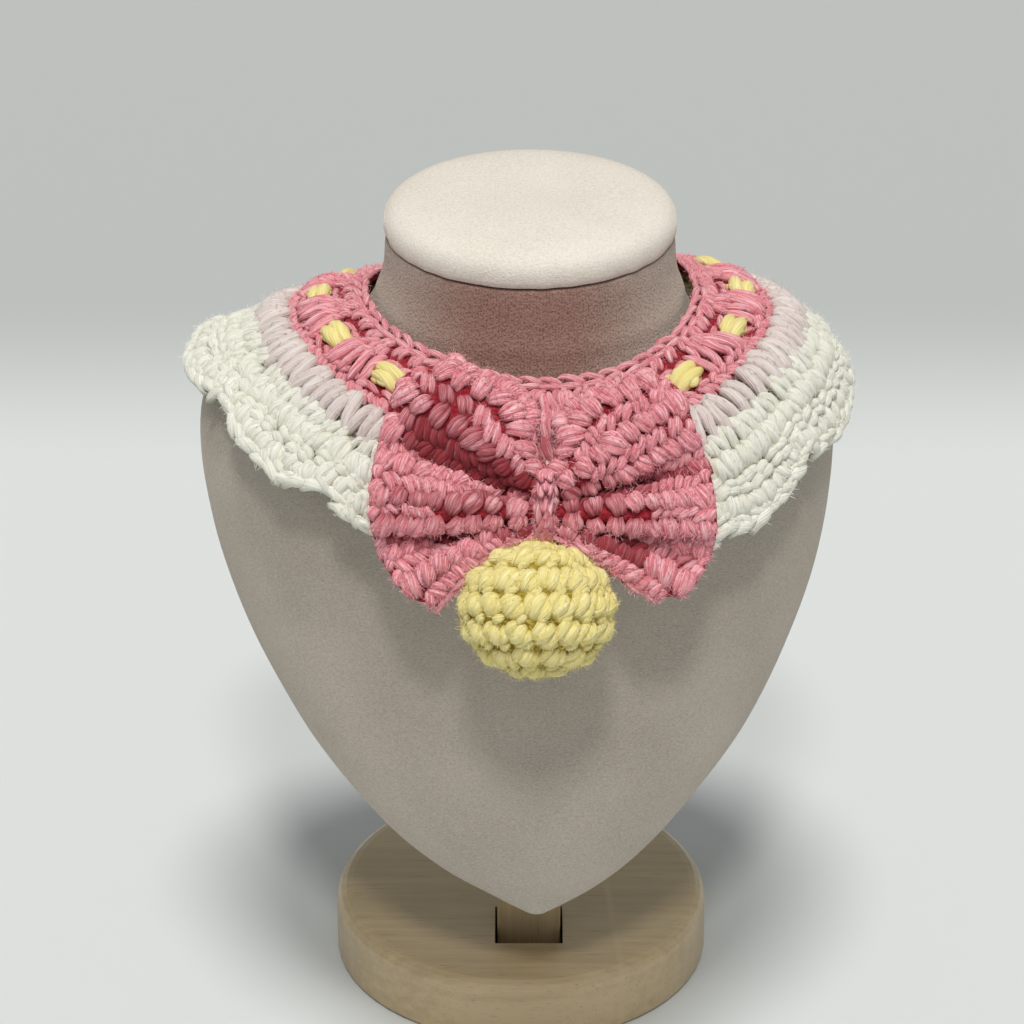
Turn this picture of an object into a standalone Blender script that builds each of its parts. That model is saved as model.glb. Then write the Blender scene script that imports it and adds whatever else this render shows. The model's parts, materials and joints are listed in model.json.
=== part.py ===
"""Crocheted pet bib with its shoulder-less display bust.

The bib is a ring of cloth: a pink band with eyelets and a drawstring, a row of
pale posts and a white scalloped ruffle, with a gathered bow and a stuffed ball
in front.  It lies round the neck of a padded bust, which stands on a wooden
post in a round base.

Metres, +Z up.  The object faces -Y, and the origin is the centre of the
underside of the base.  Lengths below are written in millimetres and turned to
metres by MM.  "Forward" means towards -Y.
"""

import math
from typing import NamedTuple

import bmesh
import bpy
import numpy as np
from mathutils import Vector

MM = 0.001
GAP = 0.3                     # what two pieces that touch keep between them

# Wooden stand
BASE_RADIUS = 48.9
BASE_HEIGHT = 17.9
BASE_ROUNDING = 4.2
BASE_CHAMFER = 0.8            # round the underside
POST_WIDTH = 16.4
POST_DEPTH = 10.0
POST_FRONT = 22.8             # forward of the origin
POST_X = 2.0
POST_TOP = 139.0
POST_ROUNDING = 0.6
SLOT_WIDTH = 17.6
SLOT_FRONT = 29.9
SLOT_FLOOR = 7.9
SLOT_CUTTER_TOP = 30.0        # anywhere above the base
SOCKET_CUTTER_HEIGHT = 60.0   # from the socket's roof to anywhere below the bust

# Neck of the bust, which the bib goes round
NECK_X = 2.0
NECK_FORWARD = 12.0
NECK_TOP = 211.3
CAP_RADIUS = 35.2
BUST_POINTS = 40
SHOULDER_Z = 180.0            # below this the chest grows fuller, over FULLNESS_DROP
FULLNESS_DROP = 25.0
CHEST_FULLNESS = 0.35         # what that adds to an ellipse's 2

# Cloth of the bib, measured along the cloth from the neck edge outwards
BAND_WIDTH = 20.0
POST_ROW_WIDTH = 8.0
SCALLOP_DEPTH = 5.0           # what the middle of a scallop adds to the ruffle's width
WALL = 3.0
WAVE = 1.3                    # half the height of a ruffle wave at the rim
EYELET_LENGTH = 8.4           # round the neck
EYELET_WIDTH = 5.2            # across the band
EYELET_AT = 11.5              # from the neck edge to an eyelet's middle
EYELET_CUTTER_HEIGHT = 14.0   # well through the cloth
CORD_RADIUS = 2.1
CORD_POINTS = 72
POST_PAIRS = 64
SHELL_STITCHES = 7            # tall stitches that fan out in one scallop

# Bow, in a frame of its own: U to the right, V up, W out of the front
BOW_CENTRE = (5.2, -81.5, 172.6)
BOW_LEAN = 27.7               # degrees that the front leans back from upright
BOW_ROWS = 14                 # rows of stitches from top edge to bottom edge
BOW_WALL = 3.0
BOW_RIB = 0.55
WING_ROOT_U = 0.8
WING_ROOT_TOP = 5.2
WING_ROOT_HEIGHT = 11.4
WING_SHOULDER_U = 7.6         # how far the top edge curves in over the middle of the bow
WING_SHOULDER_V = 4.2         # and up
WING_SHOULDER_END = 0.28      # share of the way down where that has died away
BOW_SAG = 2.8                 # how far the lower edge of the left wing hangs through
WING_STEPS = (0.0, 0.08, 0.2, 0.36, 0.54, 0.72, 0.88, 1.0)
WING_EDGE_TRIM = 0.6          # what each side of the wall loses at the root and the outer edge
WING_END_TRIM = 0.8           # and along the first and the last row
WRAP_WIDTH = 3.6
WRAP_WALL = 1.2
WRAP_ROUNDING = 0.6
WRAP_TOP = 6.7                # of the strip's inner side, as are the next two
WRAP_BOTTOM = -6.8
WRAP_REACH = 3.2              # in front and behind
WRAP_BEND = 1.6               # radius of its corners

# Stuffed ball under the bow
BALL_OFFSET = (-1.8, -23.7, 3.9)
BALL_ACROSS = 17.7
BALL_UP = 15.4
BALL_ROUND_GROOVES = (-66.0, -39.0, -11.5, 12.5, 38.5, 65.0)
BALL_GROOVE = 0.9
BALL_GROOVE_HALF = 7.5        # degrees from a groove's middle to its edge


class CapPoint(NamedTuple):
    """A point of the lid's profile: its radius and its height above the lid's underside."""

    radius: float
    height: float


CAP_PROFILE = (
    CapPoint(0.0, 0.0),
    CapPoint(CAP_RADIUS - 1.2, 0.0),
    CapPoint(CAP_RADIUS, 1.4),
    CapPoint(CAP_RADIUS + 0.1, 4.2),
    CapPoint(CAP_RADIUS - 1.4, 6.6),
    CapPoint(CAP_RADIUS - 4.6, 8.2),
    CapPoint(20.0, 9.0),
    CapPoint(0.0, 9.2),
)


class Level(NamedTuple):
    """One level of the bust: height, half its width, and how far forward it lies.

    A back fullness of 2 is an ellipse; less is leaner behind the shoulders.
    """

    z: float
    half_width: float
    front: float
    back: float
    edge: float
    middle_x: float
    back_fullness: float


BUST_LEVELS = (
    Level(211.3, 34.8, 46.8, -22.8, 12.0, 2.0, 2.0),
    Level(208.5, 35.1, 47.1, -23.1, 12.0, 2.0, 2.0),
    Level(204.0, 35.4, 47.4, -23.4, 12.0, 2.0, 2.0),
    Level(200.0, 36.2, 48.0, -24.2, 12.0, 2.0, 2.0),
    Level(196.5, 37.5, 48.9, -25.3, 12.0, 2.0, 2.0),
    Level(193.2, 38.6, 49.4, -25.0, 12.2, 1.8, 2.0),
    Level(189.8, 41.2, 50.4, -25.4, 13.0, 1.4, 1.85),
    Level(186.4, 46.4, 51.6, -25.8, 15.0, 0.8, 1.65),
    Level(183.6, 54.2, 52.6, -26.2, 16.5, 0.3, 1.55),
    Level(180.6, 63.4, 53.7, -26.8, 17.0, -0.2, 1.5),
    Level(177.2, 71.2, 54.9, -27.4, 17.0, -0.6, 1.5),
    Level(173.0, 75.4, 56.2, -27.8, 17.0, -1.0, 1.55),
    Level(168.0, 77.2, 57.4, -27.4, 16.5, -1.2, 1.6),
    Level(160.0, 77.8, 58.8, -25.6, 16.0, -1.2, 1.8),
    Level(150.0, 77.3, 60.3, -22.0, 16.0, -1.0, 2.0),
    Level(137.0, 75.3, 62.1, -14.5, 18.0, -0.6, 2.1),
    Level(124.0, 71.9, 63.6, -5.5, 20.0, -0.2, 2.2),
    Level(112.0, 67.1, 64.6, 3.5, 24.0, 0.1, 2.3),
    Level(100.2, 61.2, 65.2, 12.5, 28.5, 0.6, 2.3),
    Level(88.7, 54.2, 65.5, 21.0, 33.5, 0.9, 2.3),
    Level(77.4, 45.2, 65.2, 29.5, 39.0, 1.1, 2.3),
    Level(66.0, 34.9, 64.0, 38.0, 44.0, 1.6, 2.3),
    Level(57.0, 24.0, 61.8, 44.5, 49.0, 2.6, 2.3),
    Level(50.8, 14.0, 59.4, 49.0, 52.5, 3.6, 2.2),
    Level(46.6, 6.4, 57.6, 52.2, 54.5, 3.7, 2.0),
    Level(44.4, 2.0, 56.7, 54.6, 55.6, 3.7, 2.0),
)


class Drape(NamedTuple):
    """How the bib's cloth lies at one angle round the neck, 0 being the front.

    The neck edge is at neck_r from the neck's axis and at height neck_z, and
    the slopes are degrees below level on the band, the posts and the ruffle.
    """

    angle: float
    neck_r: float
    neck_z: float
    band: float
    posts: float
    ruffle: float


DRAPE = (
    Drape(-180.0, 41.2, 184.6, 48.0, 60.0, 66.0),
    Drape(-150.0, 41.0, 186.6, 46.0, 58.0, 62.0),
    Drape(-120.0, 40.2, 192.0, 30.0, 42.0, 42.0),
    Drape(-90.0, 39.7, 195.4, 12.0, 24.0, 21.0),
    Drape(-60.0, 39.4, 195.0, 16.0, 28.0, 32.0),
    Drape(-30.0, 39.7, 193.0, 27.0, 42.0, 54.0),
    Drape(0.0, 40.6, 190.6, 36.0, 58.0, 74.0),
    Drape(30.0, 40.8, 191.0, 25.0, 38.0, 62.0),
    Drape(60.0, 40.0, 193.4, 9.0, 20.0, 62.0),
    Drape(90.0, 39.9, 195.4, 11.0, 26.0, 58.0),
    Drape(120.0, 40.2, 194.2, 25.0, 42.0, 56.0),
    Drape(150.0, 41.0, 188.4, 44.0, 57.0, 60.0),
)


class Scallop(NamedTuple):
    """One scallop: the angle where it starts, and the ruffle's width there."""

    start: float
    width: float


SCALLOPS = (
    Scallop(-157.0, 15.0), Scallop(-127.0, 15.0), Scallop(-97.0, 14.5), Scallop(-68.0, 12.5),
    Scallop(-40.0, 13.5), Scallop(-13.0, 14.5), Scallop(12.0, 15.0), Scallop(36.0, 18.5),
    Scallop(57.0, 16.0), Scallop(86.0, 15.0), Scallop(118.0, 15.0), Scallop(146.0, 15.0),
    Scallop(174.0, 15.0),
)

class Spot(NamedTuple):
    """A point of a cloth section: distance from the neck edge, lift off the middle of
    the wall, and how much of a cluster's height is added to the lift."""

    distance: float
    lift: float
    cluster: float


BAND_SECTION = (
    Spot(0.4, 0.8, 0.0),
    Spot(2.4, 2.1, 0.0),
    Spot(5.2, 1.5, 0.0),
    Spot(8.4, 2.0, 0.6),
    Spot(EYELET_AT, 1.7, 1.0),
    Spot(14.6, 1.9, 0.6),
    Spot(17.2, 1.4, 0.0),
    Spot(BAND_WIDTH - 0.2, 1.0, 0.0),
    Spot(BAND_WIDTH - 0.2, -1.5, 0.0),
    Spot(EYELET_AT, -1.5, 0.0),
    Spot(0.4, -1.1, 0.0),
)
CLUSTER_HEIGHT = 1.4
EYELET_HALF_ANGLE = 4.5       # degrees round the neck with no cluster on them
CLUSTER_RISE = 6.0            # degrees over which a cluster reaches its full height
BAND_SEAM = 0.22              # degrees that each half of the band stops short of the seam
BAND_STEPS = 46               # sections in each half of the band


class Rim(NamedTuple):
    """A point of the ruffle's section: share of its width, lift, and share of a rib."""

    part: float
    lift: float
    rib: float


RUFFLE_SECTION = (
    Rim(0.0, 0.2, 0.0),
    Rim(0.12, 1.5, 1.0),
    Rim(0.45, 1.5, 1.0),
    Rim(0.60, 0.9, 1.0),
    Rim(0.86, 1.5, 1.0),
    Rim(1.0, 1.2, 0.0),
    Rim(1.0, -1.4, 0.0),
    Rim(0.5, -1.5, 0.0),
    Rim(0.0, -1.3, 0.0),
)
STITCH_RIB = 0.5              # how far a tall stitch stands out, and the groove beside it sinks
POST_RIDGE = 2.4              # lift of a pair of posts
POST_GROOVE = 0.9             # lift between two pairs
POST_EDGE = 0.6               # lift along both edges of the row
POST_SLOPE = 1.6              # width over which an edge rises to the row's full lift

# Middles of the eyelets round the neck, in degrees from the front
EYELETS = (-167.0, -142.0, -116.0, -90.0, -65.0, -41.0, -15.0,
           18.0, 45.0, 70.0, 94.0, 118.0, 142.0, 167.0)


class Edge(NamedTuple):
    """A point of a wing's outer outline, at a share of the way from top to bottom."""

    share: float
    left_u: float
    left_v: float
    right_u: float
    right_v: float


WING_EDGE = (
    Edge(0.00, -22.5, 33.2, 24.5, 30.4),
    Edge(0.10, -31.8, 30.8, 30.6, 27.6),
    Edge(0.25, -36.9, 20.4, 34.6, 18.2),
    Edge(0.40, -39.4, 10.8, 37.8, 9.6),
    Edge(0.55, -40.4, 1.4, 39.3, 0.8),
    Edge(0.70, -39.6, -6.6, 39.4, -7.2),
    Edge(0.85, -35.4, -16.0, 36.6, -14.8),
    Edge(0.94, -30.6, -21.0, 31.6, -20.0),
    Edge(1.00, -24.6, -23.0, 24.8, -21.0),
)


class Fold(NamedTuple):
    """How far a wing's folds stand out in front at a share of the way down."""

    share: float
    left: float
    right: float


WING_FOLDS = (
    Fold(0.00, 0.5, 0.0),
    Fold(0.12, 3.6, 2.6),
    Fold(0.22, 0.4, 3.0),
    Fold(0.34, -4.6, -2.6),
    Fold(0.40, -3.4, -4.6),
    Fold(0.48, 1.8, 0.6),
    Fold(0.56, 2.8, 2.6),
    Fold(0.64, 2.4, 2.6),
    Fold(0.73, -3.4, -2.8),
    Fold(0.79, -3.4, -3.4),
    Fold(0.88, 1.2, 1.2),
    Fold(1.00, 2.6, 2.6),
)


# ---------------------------------------------------------------- materials

def material(name, colour, roughness, metallic=0.0):
    """A plain Principled material."""
    made = bpy.data.materials.new(name)
    made.use_nodes = True
    shader = made.node_tree.nodes["Principled BSDF"]
    shader.inputs["Base Color"].default_value = (*colour, 1.0)
    shader.inputs["Roughness"].default_value = roughness
    shader.inputs["Metallic"].default_value = metallic
    return made


# ------------------------------------------------------------------ helpers

def place(x, forward, z):
    """A point in metres from millimetres, given how far forward it lies."""
    return Vector((x * MM, -forward * MM, z * MM))


def smooth_table(shares, values, share):
    """A smooth curve through a short table, held level at both ends."""
    shares = np.asarray(shares, float)
    values = np.asarray(values, float)
    slopes = np.gradient(values, shares)
    index = int(np.clip(np.searchsorted(shares, share) - 1, 0, len(shares) - 2))
    span = shares[index + 1] - shares[index]
    t = min(max((share - shares[index]) / span, 0.0), 1.0)
    a = 2 * t ** 3 - 3 * t ** 2 + 1
    b = t ** 3 - 2 * t ** 2 + t
    c = 3 * t ** 2 - 2 * t ** 3
    d = t ** 3 - t ** 2
    return a * values[index] + b * span * slopes[index] + c * values[index + 1] + d * span * slopes[index + 1]


def add_object(name, bm, finish, smooth_angle=40.0):
    """Turn a bmesh into a named object whose faces point outwards."""
    bmesh.ops.recalc_face_normals(bm, faces=bm.faces)
    if bm.calc_volume(signed=True) < 0:
        bmesh.ops.reverse_faces(bm, faces=bm.faces)
    mesh = bpy.data.meshes.new(name)
    bm.to_mesh(mesh)
    bm.free()
    mesh.materials.append(finish)
    mesh.shade_smooth()
    mesh.set_sharp_from_angle(angle=math.radians(smooth_angle))
    made = bpy.data.objects.new(name, mesh)
    bpy.context.collection.objects.link(made)
    return made


def loft(sections, closed, folded_ends=False):
    """Skin closed sections of equal length; cap the ends unless it closes on itself.

    Args: folded_ends caps a section that is a folded wall, whose first half runs along
    its front and whose second half runs back along its other side.
    """
    bm = bmesh.new()
    rings = [[bm.verts.new(point) for point in section] for section in sections]
    count = len(rings[0])
    pairs = list(zip(rings, rings[1:]))
    if closed:
        pairs.append((rings[-1], rings[0]))
    for ring, following in pairs:
        for i in range(count):
            j = (i + 1) % count
            bm.faces.new((ring[i], ring[j], following[j], following[i]))
    for ring in () if closed else (rings[0], rings[-1]):
        if folded_ends:
            for i in range(count // 2 - 1):
                bm.faces.new((ring[i], ring[i + 1], ring[count - 2 - i], ring[count - 1 - i]))
        else:
            bm.faces.new(ring)
    return bm


def turned(profile, segments):
    """A solid of revolution about Z from (radius, height) points that end on the axis."""
    bm = bmesh.new()
    points = [bm.verts.new((radius * MM, 0.0, height * MM)) for radius, height in profile]
    edges = [bm.edges.new(pair) for pair in zip(points, points[1:])]
    bmesh.ops.spin(bm, geom=points + edges, cent=(0, 0, 0), axis=(0, 0, 1),
                   angle=math.tau, steps=segments, use_merge=True)
    bmesh.ops.remove_doubles(bm, verts=bm.verts, dist=1e-6)
    return bm


def box(width, depth, height, centre, rounding=0.0):
    """A box round a centre given as (x, forward, z), with rounded edges if asked."""
    bm = bmesh.new()
    bmesh.ops.create_cube(bm, size=1.0)
    bmesh.ops.scale(bm, vec=(width * MM, depth * MM, height * MM), verts=bm.verts)
    if rounding:
        bmesh.ops.bevel(bm, geom=bm.edges, offset=rounding * MM, affect="EDGES",
                        segments=2, profile=0.5, material=-1)
    bmesh.ops.translate(bm, vec=place(*centre), verts=bm.verts)
    return bm


def cut(target, cutter):
    """Cut one object out of another with an exact Boolean, and hide the cutter."""
    cutter.hide_render = True
    cutter.display_type = "WIRE"
    difference = target.modifiers.new("cut_" + cutter.name, "BOOLEAN")
    difference.operation = "DIFFERENCE"
    difference.solver = "EXACT"
    difference.object = cutter


# -------------------------------------------------------------------- stand

def make_base(finish):
    """Round wooden base with a rounded top edge and a slot for the post."""
    arc = [(BASE_RADIUS - BASE_ROUNDING + BASE_ROUNDING * math.sin(a),
            BASE_HEIGHT - BASE_ROUNDING + BASE_ROUNDING * math.cos(a))
           for a in np.linspace(0.0, math.pi / 2, 5)]
    profile = [(0.0, BASE_HEIGHT)] + arc + [(BASE_RADIUS, BASE_CHAMFER), (BASE_RADIUS - BASE_CHAMFER, 0.0),
                                             (0.0, 0.0)]
    base = add_object("stand_base", turned(profile, 56), finish)
    slot_back = POST_FRONT - POST_DEPTH - GAP
    depth = SLOT_FRONT - slot_back
    middle = (POST_X, (SLOT_FRONT + slot_back) / 2, (SLOT_FLOOR + SLOT_CUTTER_TOP) / 2)
    slot = add_object("cutter_slot", box(SLOT_WIDTH, depth, SLOT_CUTTER_TOP - SLOT_FLOOR, middle), finish)
    cut(base, slot)
    return base


def make_post(finish):
    """Upright wooden post from the slot's floor up into the bust."""
    bottom = SLOT_FLOOR + GAP
    middle = (POST_X, POST_FRONT - POST_DEPTH / 2, (bottom + POST_TOP) / 2)
    post = box(POST_WIDTH, POST_DEPTH, POST_TOP - bottom, middle, POST_ROUNDING)
    return add_object("stand_post", post, finish)


def bust_section(level):
    """The closed outline of one level: a full curve in front, a flatter one behind."""
    points = []
    front_fullness = 2.0 + CHEST_FULLNESS * min(1.0, max(0.0, (SHOULDER_Z - level.z) / FULLNESS_DROP))
    for i in range(BUST_POINTS):
        a = math.tau * i / BUST_POINTS
        fullness = front_fullness if math.cos(a) > 0 else level.back_fullness
        across = math.copysign(abs(math.sin(a)) ** (2 / fullness), math.sin(a))
        along = math.copysign(abs(math.cos(a)) ** (2 / fullness), math.cos(a))
        reach = level.front - level.edge if along > 0 else level.edge - level.back
        points.append(place(level.middle_x + level.half_width * across,
                            level.edge + reach * along, level.z))
    return points


def make_bust(finish):
    """Padded bust: neck, sloping shoulders and a chest that narrows to a point."""
    bust = add_object("bust", loft([bust_section(level) for level in BUST_LEVELS], False), finish)
    middle = (POST_X, POST_FRONT - POST_DEPTH / 2, POST_TOP + GAP - SOCKET_CUTTER_HEIGHT / 2)
    socket = add_object("cutter_socket", box(POST_WIDTH + 2 * GAP, POST_DEPTH + 2 * GAP,
                                             SOCKET_CUTTER_HEIGHT, middle), finish)
    cut(bust, socket)
    return bust


def make_cap(finish):
    """Round padded lid on top of the neck."""
    bottom = NECK_TOP + GAP
    bm = turned([(point.radius, bottom + point.height) for point in CAP_PROFILE], 44)
    bmesh.ops.translate(bm, vec=place(NECK_X, NECK_FORWARD, 0.0), verts=bm.verts)
    return add_object("bust_cap", bm, finish)


# ---------------------------------------------------------------- bib cloth

def drape_at(angle):
    """The drape table read smoothly at any angle, as (neck_r, neck_z, band, posts, ruffle)."""
    step = 360.0 / len(DRAPE)
    place_in_table = ((angle + 180.0) % 360.0) / step
    index = int(place_in_table)
    t = place_in_table - index
    rows = [DRAPE[(index + k) % len(DRAPE)][1:] for k in (-1, 0, 1, 2)]
    before, here, after, beyond = (np.array(row) for row in rows)
    return here + 0.5 * t * ((after - before) + t * ((2 * before - 5 * here + 4 * after - beyond)
                                                     + t * (3 * (here - after) + beyond - before)))


def cloth_line(angle):
    """Radius, height and slope at each millimetre from the neck edge outwards."""
    neck_r, neck_z, band, posts, ruffle = drape_at(angle)
    along = np.arange(0.0, 56.0)
    slope = np.radians(np.interp(along, (8.0, 24.0, 37.0), (band, posts, ruffle)))
    radius = neck_r + np.concatenate(([0.0], np.cumsum(np.cos(slope))[:-1]))
    height = neck_z - np.concatenate(([0.0], np.cumsum(np.sin(slope))[:-1]))
    return along, radius, height, slope


def cloth_points(angle, spots):
    """Points of the cloth at one angle for (distance from the neck edge, lift) pairs."""
    along, radius, height, slope = cloth_line(angle)
    a = math.radians(angle)
    points = []
    for distance, lift in spots:
        tilt = float(np.interp(distance, along, slope))
        r = float(np.interp(distance, along, radius)) + lift * math.sin(tilt)
        z = float(np.interp(distance, along, height)) + lift * math.cos(tilt)
        points.append(place(NECK_X + r * math.sin(a), NECK_FORWARD + r * math.cos(a), z))
    return points


def eyelet_share(angle):
    """0 in the middle of an eyelet and 1 on the cluster half way to the next."""
    nearest = min(abs((angle - eyelet + 180.0) % 360.0 - 180.0) for eyelet in EYELETS)
    return min(1.0, max(0.0, (nearest - EYELET_HALF_ANGLE) / CLUSTER_RISE))


def band_section(angle):
    """Section of the band: raised edge rows, and fat clusters between the eyelets."""
    height = CLUSTER_HEIGHT * eyelet_share(angle)
    return cloth_points(angle, [(spot.distance, spot.lift + spot.cluster * height) for spot in BAND_SECTION])


def make_band_half(name, start, end, finish):
    """Half of the pink band, with its eyelets cut right through the cloth."""
    angles = np.linspace(start, end, BAND_STEPS + 1)
    half_band = add_object(name, loft([band_section(a) for a in angles], False), finish)
    cutters = bmesh.new()
    for eyelet in (e for e in EYELETS if start < e < end):
        middle, above, side = (cloth_points(a, [(EYELET_AT, lift)])[0]
                               for a, lift in ((eyelet, 0.0), (eyelet, 1.0), (eyelet + 1.0, 0.0)))
        up = (above - middle).normalized()
        around = (side - middle).normalized()
        across = around.cross(up).normalized()
        piece = box(EYELET_LENGTH, EYELET_WIDTH, EYELET_CUTTER_HEIGHT, (0.0, 0.0, 0.0))
        for vert in piece.verts:
            vert.co = middle + around * vert.co.x + across * vert.co.y + up * vert.co.z
        scrap = bpy.data.meshes.new("eyelet_cutter")
        piece.to_mesh(scrap)
        piece.free()
        cutters.from_mesh(scrap)
        bpy.data.meshes.remove(scrap)
    cut(half_band, add_object("cutter_" + name, cutters, finish))
    return half_band


def make_drawstring(finish):
    """Drawstring under the band, seen through the eyelets, closed into a ring."""
    curve = bpy.data.curves.new("drawstring", "CURVE")
    curve.dimensions = "3D"
    curve.bevel_depth = CORD_RADIUS * MM
    curve.bevel_resolution = 2
    spline = curve.splines.new("POLY")
    spline.points.add(CORD_POINTS - 1)
    lift = -(WALL / 2 + GAP + CORD_RADIUS)
    for i in range(CORD_POINTS):
        point = cloth_points(-180.0 + 360.0 * i / CORD_POINTS, [(EYELET_AT, lift)])[0]
        spline.points[i].co = (*point, 1.0)
    spline.use_cyclic_u = True
    curve.materials.append(finish)
    made = bpy.data.objects.new("drawstring", curve)
    bpy.context.collection.objects.link(made)
    return made


def make_post_row(finish):
    """Row of pale posts in pairs, each pair a ridge over a plain inside."""
    start = BAND_WIDTH + GAP
    end = BAND_WIDTH + POST_ROW_WIDTH - GAP
    sections = []
    columns = 2 * POST_PAIRS
    for i in range(columns):
        lift = POST_RIDGE if i % 2 else POST_GROOVE
        spots = [(start, POST_EDGE), (start + POST_SLOPE, lift), (end - POST_SLOPE, lift),
                 (end, POST_EDGE), (end, -WALL / 2), (start, -WALL / 2)]
        sections.append(cloth_points(-180.0 + 360.0 * i / columns, spots))
    return add_object("post_row", loft(sections, True), finish, 30.0)


def make_ruffle(finish):
    """White ruffle: thirteen scallops, each a fan of tall stitches in a thick rim."""
    start = BAND_WIDTH + POST_ROW_WIDTH + GAP
    first = SCALLOPS[0]
    sections = []
    for scallop, following in zip(SCALLOPS, SCALLOPS[1:] + (Scallop(first.start + 360.0, first.width),)):
        columns = 2 * SHELL_STITCHES
        for i in range(columns):
            share = i / columns
            swell = math.sin(math.pi * share) ** 0.6
            width = scallop.width + (following.width - scallop.width) * share + SCALLOP_DEPTH * swell
            rib = STITCH_RIB if i % 2 else -STITCH_RIB
            spots = []
            for rim in RUFFLE_SECTION:
                wave = WAVE * (1.0 - 2.0 * swell) * rim.part ** 1.5
                spots.append((start + width * rim.part, rim.lift + rim.rib * rib + wave))
            angle = scallop.start + (following.start - scallop.start) * share
            sections.append(cloth_points(angle, spots))
    return add_object("ruffle", loft(sections, True), finish, 30.0)


# ---------------------------------------------------------------------- bow

def bow_point(u, v, w):
    """A point of the bow's own frame in metres."""
    lean = math.radians(BOW_LEAN)
    x, y, z = BOW_CENTRE
    return Vector((x + u, y + v * math.sin(lean) - w * math.cos(lean),
                   z + v * math.cos(lean) + w * math.sin(lean))) * MM


def wing_point(side, along, share):
    """Place and fold height of a wing at a share along it and a share down it.

    Args: side is -1 for the left wing and 1 for the right one.
    """
    shares = [row.share for row in WING_EDGE]
    u_column = [row.left_u if side < 0 else row.right_u for row in WING_EDGE]
    v_column = [row.left_v if side < 0 else row.right_v for row in WING_EDGE]
    edge_u = smooth_table(shares, u_column, share)
    edge_v = smooth_table(shares, v_column, share)
    root_u = side * WING_ROOT_U
    root_v = WING_ROOT_TOP - WING_ROOT_HEIGHT * share
    reach = along + 0.10 * math.sin(math.pi * along) * (1.0 - along)
    u = root_u + (edge_u - root_u) * reach
    v = root_v + (edge_v - root_v) * along
    shoulder = (math.sin(math.pi * along) * max(0.0, 1.0 - share / WING_SHOULDER_END)) ** 2
    u -= side * WING_SHOULDER_U * shoulder
    v += WING_SHOULDER_V * shoulder
    sag = BOW_SAG * math.sin(math.pi * along) * max(0.0, share - 0.75) / 0.25
    v += sag if side < 0 else 0.2 * sag
    fold_shares = [row.share for row in WING_FOLDS]
    folds = [row.left if side < 0 else row.right for row in WING_FOLDS]
    grown = min(1.0, 0.25 + 2.4 * along) * (1.0 - 0.45 * along ** 2)
    w = smooth_table(fold_shares, folds, share) * grown
    w -= 6.0 * (v / 28.0) ** 2 if v > 0 else 2.0 * (v / 28.0) ** 2
    return u, v, w


def make_wing(name, side, finish):
    """One gathered wing: deep folds that fan out, with a rib on each row of stitches."""
    columns = 3 * BOW_ROWS
    sections = []
    for along in WING_STEPS:
        front = []
        back = []
        for j in range(columns + 1):
            share = j / columns
            u, v, w = wing_point(side, along, share)
            rib = BOW_RIB * math.cos(math.tau * BOW_ROWS * share) * min(1.0, 0.3 + along)
            thinner = WING_EDGE_TRIM if along in (WING_STEPS[0], WING_STEPS[-1]) else 0.0
            thinner += WING_END_TRIM if j in (0, columns) else 0.0
            front.append(bow_point(u, v, w + BOW_WALL / 2 - rib - thinner))
            back.append(bow_point(u, v, w - BOW_WALL / 2 + thinner))
        sections.append(front + back[::-1])
    return add_object(name, loft(sections, False, folded_ends=True), finish, 50.0)


def make_wrap(finish):
    """Strip wound round the middle of the bow."""
    outline = []
    for corner_v, corner_w, first in ((WRAP_TOP, WRAP_REACH, 0.0), (WRAP_BOTTOM, WRAP_REACH, -90.0),
                                      (WRAP_BOTTOM, -WRAP_REACH, -180.0), (WRAP_TOP, -WRAP_REACH, -270.0)):
        centre_v = corner_v - math.copysign(WRAP_BEND, corner_v)
        centre_w = corner_w - math.copysign(WRAP_BEND, corner_w)
        for k in range(4):
            a = math.radians(90.0 + first - 30.0 * k)
            outline.append((centre_v, centre_w, math.sin(a), math.cos(a)))
    half = WRAP_WIDTH / 2
    inner = WRAP_BEND
    outer = WRAP_BEND + WRAP_WALL
    sections = []
    for centre_v, centre_w, out_v, out_w in outline:
        section = []
        for u, r in ((-half, inner), (-half, outer - WRAP_ROUNDING), (-half + WRAP_ROUNDING, outer),
                     (half - WRAP_ROUNDING, outer), (half, outer - WRAP_ROUNDING), (half, inner)):
            section.append(bow_point(u, centre_v + r * out_v, centre_w + r * out_w))
        sections.append(section)
    return add_object("bow_wrap", loft(sections, True), finish)


def make_ball(finish):
    """Stuffed ball with a groove between its rounds of stitches."""
    profile = []
    for latitude in np.linspace(90.0, -90.0, 27):
        nearest = min(abs(latitude - groove) for groove in BALL_ROUND_GROOVES)
        sunk = BALL_GROOVE * max(0.0, 1.0 - nearest / BALL_GROOVE_HALF)
        a = math.radians(latitude)
        radius = max(0.0, (BALL_ACROSS - sunk) * math.cos(a))
        profile.append((radius if abs(latitude) < 89.0 else 0.0, (BALL_UP - sunk) * math.sin(a)))
    bm = turned(profile, 24)
    u, v, w = BALL_OFFSET
    for vert in bm.verts:
        x, y, z = vert.co / MM
        vert.co = bow_point(u + x, v + z, w - y)
    return add_object("ball", bm, finish)


# --------------------------------------------------------------------- main

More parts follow.
